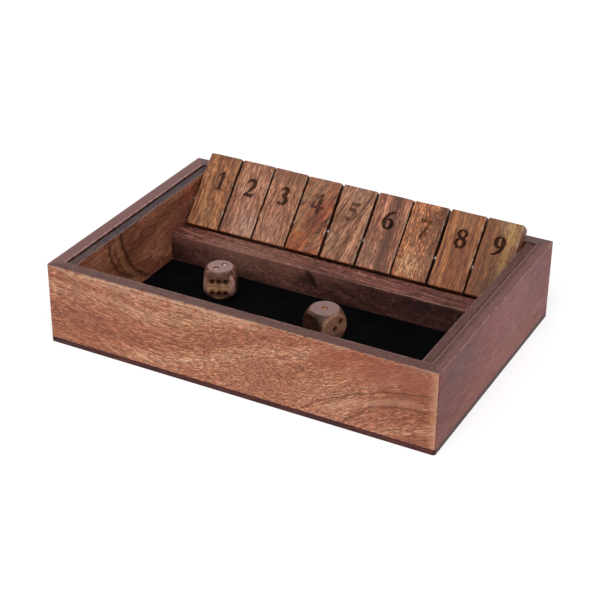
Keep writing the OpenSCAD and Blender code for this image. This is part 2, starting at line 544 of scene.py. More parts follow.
    def wandering(self, tree: Tree, own: Socket, moved: Socket) -> Socket:
        """Bend the board's own frame as the fibres run.

        Args:
            tree: Node tree of the material.
            own: Place in the board's own frame.
            moved: The same moved by the seed.

        Returns:
            Place in the grain's frame.
        """
        height, length = self.flow
        grain = self.swayed(tree, own, moved, (length * 2, length, length), height * 2)
        if self.curl[0]:
            height, length = self.curl
            along, across, radius = self.curl_at
            flat = add_node(tree, Kind.VECTOR, {0: own, 1: (1, 1, 0)}, operation="MULTIPLY")
            ends = {0: flat, 1: (along, across, 0)}
            away = add_node(tree, Kind.VECTOR, ends, out=1, operation="DISTANCE")
            fade = {0: away, 1: radius, 2: radius * 0.3, 3: 0.0, 4: height * 2}
            within = add_node(tree, Kind.RANGE, fade, **SMOOTH)
            grain = self.swayed(tree, grain, moved, (length, length * 2.2, length * 2.2), within)
        for swell in self.swells:
            grain = self.arched(tree, own, grain, swell)
        for knot in self.knots:
            grain = self.parted(tree, own, grain, knot)
        if self.lie:
            turn = (0.0, 0.0, math.radians(-self.lie))
            grain = add_node(tree, "ShaderNodeMapping", {0: grain, 2: turn}, vector_type="POINT")
        return grain

    def bands(self, tree: Tree, grain: Socket) -> Socket:
        """Draw the growth bands, which lie as cones round the tree's heart.

        Args:
            tree: Node tree of the material.
            grain: Place in the grain's frame.

        Returns:
            From zero in the latest wood to one in the earliest.
        """
        tilt = (0.0, math.radians(self.slant[0]), math.radians(self.slant[1]))
        tilted = add_node(tree, "ShaderNodeMapping", {0: grain, 2: tilt}, vector_type="POINT")
        heart = (0.0, *self.pith)
        off = add_node(tree, Kind.VECTOR, {0: tilted, 1: heart}, operation="SUBTRACT")
        across = add_node(tree, Kind.VECTOR, {0: off, 1: (0, 1, 1)}, operation="MULTIPLY")
        radius = add_node(tree, Kind.VECTOR, {0: across}, out=1, operation="LENGTH")
        along = add_node(tree, "ShaderNodeSeparateXYZ", {0: off})
        cone = {0: along, 1: -self.taper, 2: radius}
        size = add_node(tree, Kind.MATH, cone, operation="MULTIPLY_ADD")
        rings = {0: size, 1: 1 / self.ring, 2: self.seed * 7.3}
        count = add_node(tree, Kind.MATH, rings, operation="MULTIPLY_ADD")
        years = {"W": count, "Scale": 1.0, "Detail": 2.5}
        waves = add_node(tree, Kind.NOISE, years, noise_dimensions="1D")
        return add_node(tree, Kind.RANGE, {0: waves, 1: 0.3, 2: 0.7}, **SMOOTH)

    def laid(self, tree: Tree, under: Socket, layers: list[tuple[Socket, str]]) -> Socket:
        """Lay colours one after another over a first one.

        Args:
            tree: Node tree of the material.
            under: The first colour.
            layers: Share and hex colour of each layer.

        Returns:
            The colour with all of them.
        """
        for share, colour in layers:
            both = {0: share, 6: under, 7: linear(colour)}
            under = add_node(tree, Kind.MIX, both, out=2, data_type="RGBA")
        return under

    def stained(self, tree: Tree, own: Socket, moved: Socket) -> tuple[Socket, Socket, Socket]:
        """Draw the wood before anything lies on it.

        Args:
            tree: Node tree of the material.
            own: Place in the board's own frame.
            moved: The same moved by the seed.

        Returns:
            Its colour, its pores and its fibres.
        """
        grain = self.wandering(tree, own, moved)
        band = self.bands(tree, grain)
        fibre = self.speckle(tree, grain, (15.0, 1.2, 1.2), (0.32, 0.68), detail=3.0)
        length, width, many = self.pores
        low = 0.7 - many * 0.5
        aside = add_node(tree, Kind.VECTOR, {0: grain, 1: (37.0, 19.0, 53.0)}, operation="ADD")
        dash = self.speckle(tree, grain, (length, width, width), (low, low + 0.14))
        thread = self.threads(tree, aside, (length * 5, width * 1.8, width * 1.8), self.thread)
        pore = add_node(tree, Kind.MATH, {0: dash, 1: thread}, operation="MAXIMUM")
        cut = (low - 0.02, low + 0.18)
        fleck = self.speckle(tree, aside, (length * 1.2, width, width), cut, self.fleck_share)
        size = (*self.patch, self.patch[1])
        patch = self.speckle(tree, grain, size, (0.42, 0.66), self.flush_share, 2.0)
        tone = add_node(tree, Kind.MIX, {0: self.band_share, 2: fibre, 3: band}, data_type="FLOAT")
        stops = [(0.08, self.dark), (0.5, self.mid), (0.95, self.pale)]
        colour = add_node(tree, "ShaderNodeValToRGB", {0: tone}, stops=stops)
        dark = add_node(tree, Kind.MATH, {0: pore, 1: self.pore_share}, operation="MULTIPLY")
        colour = self.laid(tree, colour, [(patch, self.flush), (fleck, self.pale)])
        colour = self.marked(tree, own, moved, colour, [mark for mark in self.marks if mark.under_pores])
        layers = [(dark, self.pore)]
        for knot in self.knots:
            ends = {0: grain, 1: knot.at}
            off = add_node(tree, Kind.VECTOR, ends, out=1, operation="DISTANCE")
            fade = {0: off, 1: knot.size * 1.6, 2: knot.size * 0.4, 3: 0.0, 4: 0.85}
            layers.append((add_node(tree, Kind.RANGE, fade, **SMOOTH), self.pore))
        return self.laid(tree, colour, layers), pore, fibre

    def marked(self, tree: Tree, own: Socket, moved: Socket, colour: Socket, marks: list[Mark]) -> Socket:
        """Lay some of the marks over the wood's colour.

        Args:
            tree: Node tree of the material.
            own: Place in the board's own frame.
            moved: The same moved by the seed.
            colour: Colour of the wood.
            marks: The marks to lay.

        Returns:
            The colour with the marks.
        """
        if not marks:
            return colour
        ragged = add_node(tree, Kind.NOISE, {0: moved, "Scale": 0.22, "Detail": 3.0})
        bent = self.swayed(tree, own, moved, (24.0, 9.0, 9.0), 3.0)
        layers = [(m.share(tree, bent if m.radius or m.within else own, ragged), m.colour) for m in marks]
        return self.laid(tree, colour, layers)

    def covered(self, tree: Tree, colour: Socket) -> tuple[Socket, Socket | None]:
        """Lay what is burnt over the wood, and say where; plain wood has nothing."""
        return colour, None

    def material(self) -> Material:
        """Build the wood as a material.

        Returns:
            The material.
        """
        made, tree = blank_material(self.name)
        own, moved = self.places(tree)
        colour, pore, fibre = self.stained(tree, own, moved)
        worn_and_lit = [mark for mark in self.marks if not mark.under_pores]
        colour, burnt = self.covered(tree, self.marked(tree, own, moved, colour, worn_and_lit))
        least, most = self.roughness
        rough = add_node(tree, Kind.RANGE, {0: fibre, 3: most, 4: least})
        gloss = self.gloss
        if burnt is not None:
            rough = add_node(tree, Kind.MIX, {0: burnt, 2: rough, 3: 0.75}, data_type="FLOAT")
            if self.char_gloss is not None:
                levels = {0: burnt, 2: self.gloss, 3: self.char_gloss}
                gloss = add_node(tree, Kind.MIX, levels, data_type="FLOAT")
        raised = add_node(tree, Kind.MATH, {0: fibre, 1: 0.5}, operation="MULTIPLY")
        height = add_node(tree, Kind.MATH, {0: raised, 1: pore}, operation="SUBTRACT")
        depth = {"Strength": 0.55, "Distance": self.relief * MM, "Height": height}
        oiled = {
            "Base Color": colour,
            "Roughness": rough,
            "Normal": add_node(tree, "ShaderNodeBump", depth),
            "IOR": 1.48,
            "Specular IOR Level": gloss,
            "Coat Weight": self.coat,
            "Coat Roughness": 0.12,
        }
        add_node(tree, "ShaderNodeOutputMaterial", {0: add_node(tree, "ShaderNodeBsdfPrincipled", oiled)})
        return made


@dataclass(frozen=True)
class ScorchedWoodFinish(WoodFinish):
    """The same wood with figures burnt into it, where the mesh's scorch attribute says.

    Attributes:
        char: Colour of the burnt wood.
        char_share: How black the burn is.
    """

    char: str = "#180C09"
    char_share: float = 0.93

    def covered(self, tree: Tree, colour: Socket) -> tuple[Socket, Socket | None]:
        """Blacken the wood where it is burnt.

        Args:
            tree: Node tree of the material.
            colour: Colour of the wood.

        Returns:
            The colour with the burn, and how burnt each place is.
        """
        burn = add_node(tree, "ShaderNodeAttribute", out=2, attribute_name="scorch")
        place = add_node(tree, "ShaderNodeTexCoord", out=3)
        soot = add_node(tree, Kind.NOISE, {0: place, "Scale": 0.9 / MM, "Detail": 2.0})
        black = {0: soot, 1: 0.3, 2: 0.7, 3: 0.8 * self.char_share, 4: self.char_share}
        patchy = add_node(tree, Kind.RANGE, black)
        burnt = add_node(tree, Kind.MATH, {0: burn, 1: patchy}, operation="MULTIPLY")
        return self.laid(tree, colour, [(burnt, self.char)]), burnt


@dataclass(frozen=True)
class SteelFinish:
    """Drawn mild steel, bright and uncoated, with fine lines along the draw.

    Attributes:
        name: Name of the material.
        colour: Colour of the metal's reflection.
        dull: Colour of its oxide film, which lies in the lines.
        draw: Length of the draw lines along X, Y and Z.
    """

    name: str
    colour: str = "#F2F1EF"
    dull: str = "#8E8A86"
    draw: Point = (9.0, 0.25, 0.25)

    def material(self) -> Material:
        """Build the steel as a material.

        Returns:
            The material.
        """
        made, tree = blank_material(self.name)
        place = add_node(tree, "ShaderNodeTexCoord", out=3)
        sizes = tuple(size * MM for size in self.draw)
        fine = add_node(tree, Kind.VECTOR, {0: place, 1: sizes}, operation="DIVIDE")
        lines = add_node(tree, Kind.NOISE, {0: fine, "Scale": 1.0, "Detail": 2.0})
        rough = add_node(tree, Kind.RANGE, {0: lines, 3: 0.3, 4: 0.5})
        both = {0: lines, 6: linear(self.colour), 7: linear(self.dull)}
        film = add_node(tree, Kind.MIX, both, out=2, data_type="RGBA")
        bump = add_node(tree, "ShaderNodeBump", {"Strength": 0.3, "Distance": 0.02 * MM, "Height": lines})
        steel = {"Base Color": film, "Metallic": 1.0, "Roughness": rough, "Normal": bump}
        add_node(tree, "ShaderNodeOutputMaterial", {0: add_node(tree, "ShaderNodeBsdfPrincipled", steel)})
        return made


@dataclass(frozen=True)
class FeltFinish:
    """Black wool felt, pressed and not woven: matt, with short matted fibres.

    Attributes:
        name: Name of the material.
        dark: Colour between the fibres.
        light: Colour of the fibres that stand up.
        fibre: Thickness of a tuft of fibres, drawn coarser than the real 0.02.
        cloud: Size of the thicker and thinner places.
    """

    name: str
    dark: str = "#030304"
    light: str = "#090A0C"
    fibre: float = 0.5
    cloud: float = 14.0

    def material(self) -> Material:
        """Build the felt as a material.

        Returns:
            The material.
        """
        made, tree = blank_material(self.name)
        place = add_node(tree, "ShaderNodeTexCoord", out=3)
        tufts = {0: place, "Scale": 1 / (self.fibre * MM), "Detail": 4.0, "Distortion": 1.2}
        fine = add_node(tree, Kind.NOISE, tufts)
        clouds = {0: place, "Scale": 1 / (self.cloud * MM), "Detail": 2.0}
        broad = add_node(tree, Kind.NOISE, clouds)
        tone = add_node(tree, Kind.MATH, {0: fine, 1: broad}, operation="MULTIPLY")
        share = add_node(tree, Kind.RANGE, {0: tone, 1: 0.15, 2: 0.4})
        both = {0: share, 6: linear(self.dark), 7: linear(self.light)}
        colour = add_node(tree, Kind.MIX, both, out=2, data_type="RGBA")
        bump = add_node(tree, "ShaderNodeBump", {"Strength": 0.8, "Distance": 0.25 * MM, "Height": fine})
        wool = {"Base Color": colour, "Roughness": 0.95, "Specular IOR Level": 0.03, "Normal": bump}
        add_node(tree, "ShaderNodeOutputMaterial", {0: add_node(tree, "ShaderNodeBsdfPrincipled", wool)})
        return made


@dataclass(frozen=True)
class SpotFinish:
    """Brown-black enamel in the drilled spots of a die, with a pale painted glint where they face up.

    Attributes:
        name: Name of the material.
        glint: Pale colour of the spots that face up: a painted glint.
        colour: Colour of the enamel.
        thin: Colour where it is thin and the wood shows through.
        pool: Size of the thick and thin places.
    """

    name: str
    glint: str
    colour: str = "#160B08"
    thin: str = "#3A2013"
    pool: float = 1.2

    def material(self) -> Material:
        """Build the enamel as a material.

        Returns:
            The material.
        """
        made, tree = blank_material(self.name)
        place = add_node(tree, "ShaderNodeTexCoord", out=3)
        pools = {0: place, "Scale": 1 / (self.pool * MM), "Detail": 1.0}
        pool = add_node(tree, Kind.NOISE, pools)
        both = {0: pool, 6: linear(self.colour), 7: linear(self.thin)}
        enamel = add_node(tree, Kind.MIX, both, out=2, data_type="RGBA")
        facing = add_node(tree, "ShaderNodeAttribute", out=1, attribute_name="facing")
        up = add_node(tree, "ShaderNodeSeparateXYZ", {0: facing}, out=2)
        # spots that face up get a pale colour, a painted glint, and more gloss
        worn_and_lit = add_node(tree, Kind.RANGE, {0: up, 1: 0.6, 2: 0.9})
        both = {0: worn_and_lit, 6: enamel, 7: linear(self.glint)}
        colour = add_node(tree, Kind.MIX, both, out=2, data_type="RGBA")
        rough = add_node(tree, Kind.RANGE, {0: pool, 3: 0.3, 4: 0.5})
        gloss = add_node(tree, Kind.RANGE, {0: worn_and_lit, 3: 0.05, 4: 0.5})
        spot = {"Base Color": colour, "Roughness": rough, "Specular IOR Level": gloss}
        add_node(tree, "ShaderNodeOutputMaterial", {0: add_node(tree, "ShaderNodeBsdfPrincipled", spot)})
        return made


# ---- The box ----


@dataclass
class Carcase:
    """The outer walls, base, liners, rail, rod and lining board, in their CAD shapes.

    Each board's own frame has X along the grain, Y up and Z out of its best side, with
    its middle at the foot of that side.

    Attributes:
        length: Overall length.
        width: Overall width.
        height: Overall height of the walls.
        wall: Thickness of an outer wall.
        liner_top: Height of the liners' top edges.
        liner_face: Distance of a liner's inner face from the middle.
        liner_thick: Thickness of a liner.
        rail_front: Place of the rail's front face.
        rail_top: Height of the rail.
    """

    length: float = 290.0
    width: float = 200.0
    height: float = 60.0
    wall: float = 9.5
    liner_top: float = 58.8
    liner_face: float = 128.0
    liner_thick: float = 6.9
    rail_front: float = 31.35
    rail_top: float = 28.0

    def worn_and_lit(
        self, half: float, thick: float, top: float, dark: str, pale: str, inner: str, rub_and_shine: float = 0.45
    ) -> tuple[Mark, ...]:
        """Darker top side with a painted sheen, and rubbed pale arrises with painted highlights, of an
        upright board.

        Args:
            half: Half of its length.
            thick: Its thickness.
            top: Height of its top side.
            dark: Colour of the top side: darker, and greyed by a painted sheen of the light from above.
            pale: Colour of the arrises: rubbed pale, with a painted highlight.
            inner: Colour of the top arris on its back side: a painted highlight where pale, painted shade
                where dark.
            rub_and_shine: How pale its outer top arris is, rubbed and with a painted highlight.

        Returns:
            The marks.
        """
        along, up, out = Axis
        return (
            # top side: darker, greyed by a painted sheen
            Mark((0, top, 0), (along, out), 0.45, dark, 0.9, broken=0.45),
            # outer top arris: rubbed pale, with a painted highlight
            Mark((0, top, 0), (along,), 1.0, pale, rub_and_shine, broken=0.75),
            # top arris on the back side: a painted highlight in a pale colour, painted shade in a dark one
            Mark((0, top, -thick), (along,), 1.3, inner, 0.75),
            # corner arrises: rubbed pale, with a painted highlight
            Mark((half, 0, 0), (up,), 2.4, pale, 0.7, broken=0.4),
            Mark((-half, 0, 0), (up,), 1.0, pale, 0.65),
        )

    def long_walls(self) -> dict[str, WoodFinish]:
        """Orange-brown boards at the front and the back.

        Returns:
            Each board's finish by its node's name.
        """
        along, up, out = Axis
        size = (self.length / 2, self.wall, self.height)
        front = WoodFinish(
            "front_wall_mango",
            pale="#FFC59F", mid="#DD8C64", dark="#A45C3E", pore="#653220", flush="#BC6848",
            centre=(0, -self.width / 2, 0), face=(0, -1, 0), pith=(10, -90), slant=(-1.5, -3),
            taper=0.06, ring=7, band_share=0.6, flow=(3, 60), curl=(1.6, 4), curl_at=(30, 25, 75),
            pores=(3.2, 0.5, 0.45), thread=0.12, pore_share=0.85, fleck_share=0.5, flush_share=0.5,
            gloss=0.3, seed=1.7,
            swells=(Swell((165, 20), (130, 220), 45), Swell((-50, 20), (95, 200), -14)),
            marks=(
                Mark((-115, 10, 0), (), 60, "#A0583A", 0.35, broken=0.4),
                Mark((-126, 50, 0), (), 32, "#9A5C42", 0.4, broken=0.4),
                Mark((-85, 49, 0), (), 26, "#DCA886", 0.3, broken=0.4),
                Mark((128, 42, 0), (), 50, "#884530", 0.6, broken=0.4),
                Mark((100, 50, 0), (along,), 20, "#984E38", 0.6, broken=0.5, within=(105, 46, 60)),
                Mark((15, 12, 0), (), 44, "#DCA482", 0.4, broken=0.5),
                Mark((75, 13, 0), (), 46, "#DCA88A", 0.45, broken=0.5),
                Mark((25, 36, 0), (), 40, "#9A5A40", 0.2, broken=0.5),
                Mark((-30, 46, 0), (), 34, "#B8835A", 0.4, broken=0.4),
                Mark((159.6, -139.5, 0), (out,), 1.3, "#5E2E1A", 0.65, radius=182.2),
                Mark((133.6, -38.8, 0), (out,), 1.3, "#5E2E1A", 0.7, radius=68.3),
                Mark((160, -146, 0), (out,), 4.0, "#D8A684", 0.3, radius=182.2, within=(100, 22, 44)),
                Mark((90, -100, 0), (out,), 1.0, "#6A3822", 0.6, radius=150, within=(44, 42, 24)),
                Mark((-121.2, -223.7, 0), (out,), 1.6, "#C08C64", 0.6, radius=270.2, within=(-82, 44, 45)),
                # right corner: rubbed pale, with a painted highlight on its rounding
                Mark((143, 0, 0), (up,), 5.0, "#C8906C", 0.5, broken=0.5),
                Mark((-50, 55.5, 0), (along,), 3.2, "#DDB091", 0.35, broken=0.8, within=(-50, 55, 95)),
                # painted highlight along the top arris
                Mark((-60, 58.6, 0), (along, out), 1.5, "#E0B592", 0.6, broken=0.95, within=(-62, 58, 95)),
                Mark((-15, 52, 0), (up, out), 0.6, "#5E2E1A", 0.8, broken=0.5, within=(-15, 52, 9)),
                *self.worn_and_lit(*size, "#4E2B28", "#CBA18B", "#B08478"),
            ),
        )
        back = WoodFinish(
            "back_wall_mango",
            pale="#B17754", mid="#925539", dark="#683823", pore="#4A281B", flush="#753F2E",
            centre=(0, self.width / 2, 0), grain=(-1, 0, 0), face=(0, 1, 0), curl=(0.8, 9),
            pores=(4.4, 1.3, 0.38), seed=4.1,
            swells=(Swell((40, 20), (110, 200), -12),),
            marks=(
                # painted shade: the inner side, inside the box behind the tiles, is dark
                Mark((0, 0, -self.wall), (along, up), 0.4, "#352223", 0.85, broken=0.2),
                *self.worn_and_lit(*size, "#4A2B2A", "#A07A70", "#352223"),
            ),
        )
        return {"front_wall": front, "back_wall": back}

    def short_walls(self) -> dict[str, WoodFinish]:
        """Smoother boards at the ends, stained redder.

        Returns:
            Each board's finish by its node's name.
        """
        along, up, _ = Axis
        side = dict(
            pale="#954D44", mid="#873F36", dark="#76372E", pore="#552B25", flush="#8D4135", ring=4,
            pores=(10.0, 1.2, 0.3), pore_share=0.2, fleck_share=0.15, band_share=0.3,
            patch=(60.0, 14.0), thread=0.018, roughness=(0.42, 0.55), gloss=0.22,
        )
        stains_and_shade = (
            Mark((-55, 54, 0), (), 45, "#6A4449", 0.5, broken=0.3),
            Mark((70, 50, 0), (), 40, "#6A4449", 0.5, broken=0.3),
            Mark((0, 12, 0), (along,), 16, "#9C5A4A", 0.4, within=(5, 14, 85)),
            Mark((0, self.height, 0), (along,), 1.4, "#4E2C2C", 0.6, broken=0.5),
            # painted shade: the inner side, seen only in the narrow gap above the liner, is nearly black
            Mark((0, 0, -self.wall), (along, up), 0.3, "#1E1616", 0.85, broken=0.2),
        )
        half = self.length / 2
        size = (self.width / 2, self.wall, self.height)
        left = WoodFinish(
            "left_wall_mango",
            centre=(-half, 0, 0), grain=(0, -1, 0), face=(-1, 0, 0), seed=2.3,
            marks=(*stains_and_shade, *self.worn_and_lit(*size, "#7C5855", "#E0B8AC", "#C89A90", 0.3)),
            **side,
        )
        right = WoodFinish(
            "right_wall_mango",
            centre=(half, 0, 0), grain=(0, 1, 0), face=(1, 0, 0), seed=5.9,
            marks=(
                Mark((25, 38, 0), (), 80, "#A46865", 0.4, broken=0.4),
                Mark((-80, 46, 0), (), 50, "#5E3738", 0.5, broken=0.4),
                *stains_and_shade,
                *self.worn_and_lit(*size, "#704A46", "#E0B8AC", "#B08880", 0.3),
                Mark((0, self.height, -3.5), (along,), 1.0, "#7E5654", 0.6, broken=0.8),
                Mark((0, self.height, -7), (along,), 2.6, "#4C2F2B", 0.75, broken=0.8),
            ),
            **side,
        )
        return {"left_wall": left, "right_wall": right}

    def liners(self) -> dict[str, WoodFinish]:
        """Golden-brown boards inside the ends, mottled where the grain curls.

        Returns:
            Each board's finish by its node's name.
        """
        out = Axis.OUT
        size = (self.width / 2, self.liner_thick, self.liner_top)
        liner = dict(
            pale="#E29C7C", mid="#AC6A4E", dark="#77422F", pore="#3C2114", flush="#A1523F",
            curl=(1.5, 10), curl_at=(-40, 30, 110), flow=(6, 45), pores=(3.2, 1.0, 0.4),
            pore_share=0.45, fleck_share=0.5, flush_share=0.6, patch=(22.0, 10.0), gloss=0.2,
        )
        veins_and_shade = (
            Mark((-62, 30, 0), (), 30, "#7A3E30", 0.3, broken=0.4),
            Mark((-50, 30, 0), (), 30, "#C0845C", 0.35, broken=0.4),
            Mark((-24, 52, 0), (), 34, "#4E281C", 0.5, broken=0.4),
            # painted shade: nearly black low at the back, behind the rail and under the tiles
            Mark((58, 20, 0), (), 26, "#24120F", 0.7, broken=0.4),
            Mark((-24, 18, 0), (), 26, "#C08C66", 0.4, broken=0.4),
            Mark((26, 50, 0), (), 36, "#8A6850", 0.35, broken=0.4),
            Mark((22, 62, 0), (out,), 3.4, "#C08A5C", 0.5, radius=62.5, within=(-34, 34, 40)),
            Mark((23.8, 63.5, 0), (out,), 2.6, "#33190F", 0.85, radius=58.9, within=(-28, 34, 48)),
            Mark((-6.2, 59.4, 0), (out,), 2.3, "#33190F", 0.75, radius=44.1, within=(-45, 40, 40)),
            Mark((5.8, 60.1, 0), (out,), 1.8, "#33190F", 0.5, radius=50.2, within=(-40, 36, 36)),
            Mark((50, 36, 0), (), 30, "#6E4440", 0.5, broken=0.4),
        )
        left = WoodFinish(
            "left_liner_mango",
            centre=(-self.liner_face, 0, 0), grain=(0, 1, 0), face=(1, 0, 0), seed=3.4,
            # top side: painted grey sheen; top arris against the wall: painted shade of the gap
            marks=(*veins_and_shade, *self.worn_and_lit(*size, "#2C2630", "#9A766C", "#120B0B", 0.6)),
            **liner,
        )
        right = WoodFinish(
            "right_liner_mango",
            centre=(self.liner_face, 0, 0), grain=(0, -1, 0), face=(-1, 0, 0), seed=6.6,
            # top side: painted grey sheen; top arris against the wall: painted shade of the gap
            marks=self.worn_and_lit(*size, "#4A2C2C", "#9A766C", "#120B0B", 0.6),
            **liner,
        )
        return {"left_liner": left, "right_liner": right}

    def inner(self) -> dict[str, WoodFinish]:
        """The rail under the tiles, the base and the board under the felt.

        Returns:
            Each board's finish by its node's name.
        """
        along, up, out = Axis
        knot = ((-12.4, 24.8), (-10.6, 22.2), (-8.6, 19.4), (-7.0, 17.2))
        rail = WoodFinish(
            "rail_mango",
            pale="#D38F80", mid="#76433A", dark="#32150F", pore="#220D0B", flush="#85483C",
            centre=(0, self.rail_front, 0), face=(0, -1, 0), curl=(1.2, 6), curl_at=(-30, 20, 120),
            flow=(5, 40), seed=7.7, band_share=0.6, pores=(3.0, 0.65, 0.42), thread=0.08,
            pore_share=0.7, flush_share=0.6, patch=(24.0, 9.0), gloss=0.25,
            marks=(
                # painted shade in the corner where the rail meets the left liner
                Mark((-128, 16, 0), (), 30, "#2A1716", 0.8),
                Mark((-70, 22, 0), (), 40, "#D09A84", 0.7, broken=0.4),
                Mark((-38, 14, 0), (), 44, "#BE846E", 0.65, broken=0.4),
                Mark((-5, 24, 4), (), 26, "#2C1512", 0.5, broken=0.4),
                Mark((0, 0, 0), (along, up), 3.0, "#25110F", 0.55, broken=0.3, within=(22, 21, 30)),
                Mark((80, 12, 0), (), 60, "#8E6056", 0.55, broken=0.4),
                # painted shadow of the tiles: nearly black on the upper front and the top, at the right
                Mark((86, 23.5, 0), (along,), 9, "#180C0C", 0.8, within=(88, 23, 36)),
                Mark((-60, 28, -8), (), 90, "#563630", 0.4, broken=0.4),
                Mark((94, 30, -10), (), 40, "#321C19", 0.4, broken=0.4),
                Mark((0, 0, 0), (along, up), 0.4, "#2C1A19", 0.4, broken=0.2),
                Mark((-40, 26, 0), (along,), 6.0, "#80564A", 0.5, broken=0.5, within=(-55, 26, 100)),
                Mark((0, 7, 0), (along,), 12, "#2A1817", 0.6, broken=0.4),
                Mark((84, 17, 0), (along,), 12, "#2A181B", 0.6, broken=0.4, within=(90, 16, 62)),
                Mark((-16, 19, 0), (), 12, "#2C1414", 0.7),
                *(Mark((x, z, 0), (out,), 4.4, "#120B08", 0.95, broken=0.25) for x, z in knot),
                Mark((-4.8, 21.0, 0), (), 2.4, "#8A6A5A", 0.55),
                Mark((9.0, 19.5, 0), (), 3.2, "#8A6458", 0.5),
                # painted highlight along the front top arris at the right
                Mark((0, self.rail_top, 0), (along,), 0.9, "#A8806E", 0.7, within=(80, 28, 66)),
            ),
        )
        base = WoodFinish(
            "base_stained_mango",
            pale="#5C302C", mid="#47221F", dark="#331614", pore="#220E0C", flush="#4F2824",
            pores=(5.0, 1.3, 0.35), ring=6, gloss=0.2, seed=8.2,
        )
        board = WoodFinish(
            "lining_board_ply",
            pale="#B79A70", mid="#A3875E", dark="#866C48", pore="#6E5636", flush="#997B52", seed=9.1,
        )
        return {"tile_rail": rail, "base_board": base, "lining_board": board}

    def dress(self, nodes: dict[str, Object]) -> None:
        """Give each kept CAD node its finish.

        Args:
            nodes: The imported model's nodes by name.
        """
        woods = {**self.long_walls(), **self.short_walls(), **self.liners(), **self.inner()}
        finishes = {**woods, "hinge_rod": SteelFinish("drawn_steel_rod")}
        for name, finish in finishes.items():
            mesh = nodes[name].data
            mesh.materials.clear()
            mesh.materials.append(finish.material())
            log.info("%s keeps its CAD shape, in %s", name, finish.name)


# ---- Panel pins ----


@dataclass
class BasePins:
    """The panel pins that hold the base, their heads just under its face.

    Attributes:
        head: Diameter of a head.
        head_height: Thickness of a head.
        shank: Diameter of a shank.
        length: Length of a pin.
        sink: Height of the heads above the underside.
        inset: Distance of the outer pins from the corners.
        rail_line: Place of the pins that hold the rail, from front to back.
        box: The box that they hold together.
    """

    head: float = 3.0
    head_height: float = 0.8
    shank: float = 1.6
    length: float = 18.0
    sink: float = 0.2
    inset: float = 24.0
    rail_line: float = 40.715
    box: Carcase = field(default_factory=Carcase)

    def places(self) -> np.ndarray:
        """Say where the pins stand.

        Returns:
            The foot of each pin.
        """
        found = []
        line = self.box.width / 2 - self.box.wall / 2
        for y in (-line, line):
            span = self.box.length - 2 * self.inset
            found += [(-span / 2 + i * span / 3, y, self.sink) for i in range(4)]
        line = self.box.length / 2 - self.box.wall / 2
        for x in (-line, line):
            span = self.box.width - 2 * self.inset
            found += [(x, -span / 2 + i * span / 2, self.sink) for i in range(3)]
        found += [(i * (self.box.liner_face - self.inset), self.rail_line, self.sink) for i in (-1, 0, 1)]
        return np.array(found)

    def tree(self, finish: Material) -> GeometryNodeTree:
        """Stand a pin on every point that the tree is given.

        Args:
            finish: Material of the pins.

        Returns:
            The node tree.
        """
        kinds = dict.fromkeys(("Head", "Head Height", "Shank", "Length"), "Float")
        tree, given = geometry_tree("stand_pins", {"Points": "Geometry", **kinds})
        points, head, height, shank, length = given[:5]
        foot = add_node(tree, Kind.MATH, {0: head, 1: 0.86}, operation="MULTIPLY")
        sides = {"Vertices": 24, "Side Segments": 1, "Fill Segments": 2}
        sizes = {"Radius Top": head, "Radius Bottom": foot, "Depth": height}
        dome = add_node(tree, "GeometryNodeMeshCone", {**sides, **sizes})
        round_bar = {"Vertices": 16, "Radius": shank, "Depth": length}
        rod = add_node(tree, "GeometryNodeMeshCylinder", round_bar)
        half = add_node(tree, Kind.MATH, {0: length, 1: 0.5}, operation="MULTIPLY")
        lift = add_node(tree, "ShaderNodeCombineXYZ", {2: half})
        lifted = add_node(tree, "GeometryNodeTransform", {"Geometry": rod, "Translation": lift})
        pin = add_node(tree, "GeometryNodeJoinGeometry", {0: dome})
        tree.links.new(lifted, pin.node.inputs[0])
        row = add_node(tree, "GeometryNodeInstanceOnPoints", {"Points": points, "Instance": pin})
        end_tree(tree, row, finish)
        return tree

    def build(self) -> Object:
        """Stand the pins under the box.

        Returns:
            All the pins as one object.
        """
        steel = SteelFinish("panel_pin_steel", colour="#C4C3C1", draw=(0.25, 0.25, 9.0))
        sizes = {
            "Head": self.head / 2 * MM,
            "Head Height": self.head_height * MM,
            "Shank": self.shank / 2 * MM,
            "Length": (self.length - 0.02) * MM,
        }
        seedbed = mesh_object("pin_points", self.places(), [])
        made = grown("panel_pins", seedbed, self.tree(steel.material()), sizes)
        log.info("%s has %d faces", made.name, len(made.data.polygons))
        return made


def grown(name: str, seedbed: Object, tree: GeometryNodeTree, sizes: dict[str, object]) -> Object:
    """Run a node tree on an object and keep its result as a plain mesh.

    Args:
        name: Name of the finished object.
        seedbed: Object that the tree works on; it is removed, with its modifier.
        tree: The node tree.
        sizes: Value for each named input.

    Returns:
        The finished object, with no modifier.
    """
    grower = seedbed.modifiers.new("grow", "NODES")
    grower.node_group = tree
    for item in tree.interface.items_tree:
        if item.item_type == "SOCKET" and item.in_out == "INPUT" and item.name in sizes:
            grower[item.identifier] = sizes[item.name]
    bpy.context.view_layer.update()
    depsgraph = bpy.context.evaluated_depsgraph_get()
    mesh = bpy.data.meshes.new_from_object(seedbed.evaluated_get(depsgraph), depsgraph=depsgraph)
    mesh.name = name
    made = bpy.data.objects.new(name, mesh)
    bpy.context.scene.collection.objects.link(made)
    bpy.data.objects.remove(seedbed)
    return made


# ---- Numerals ----

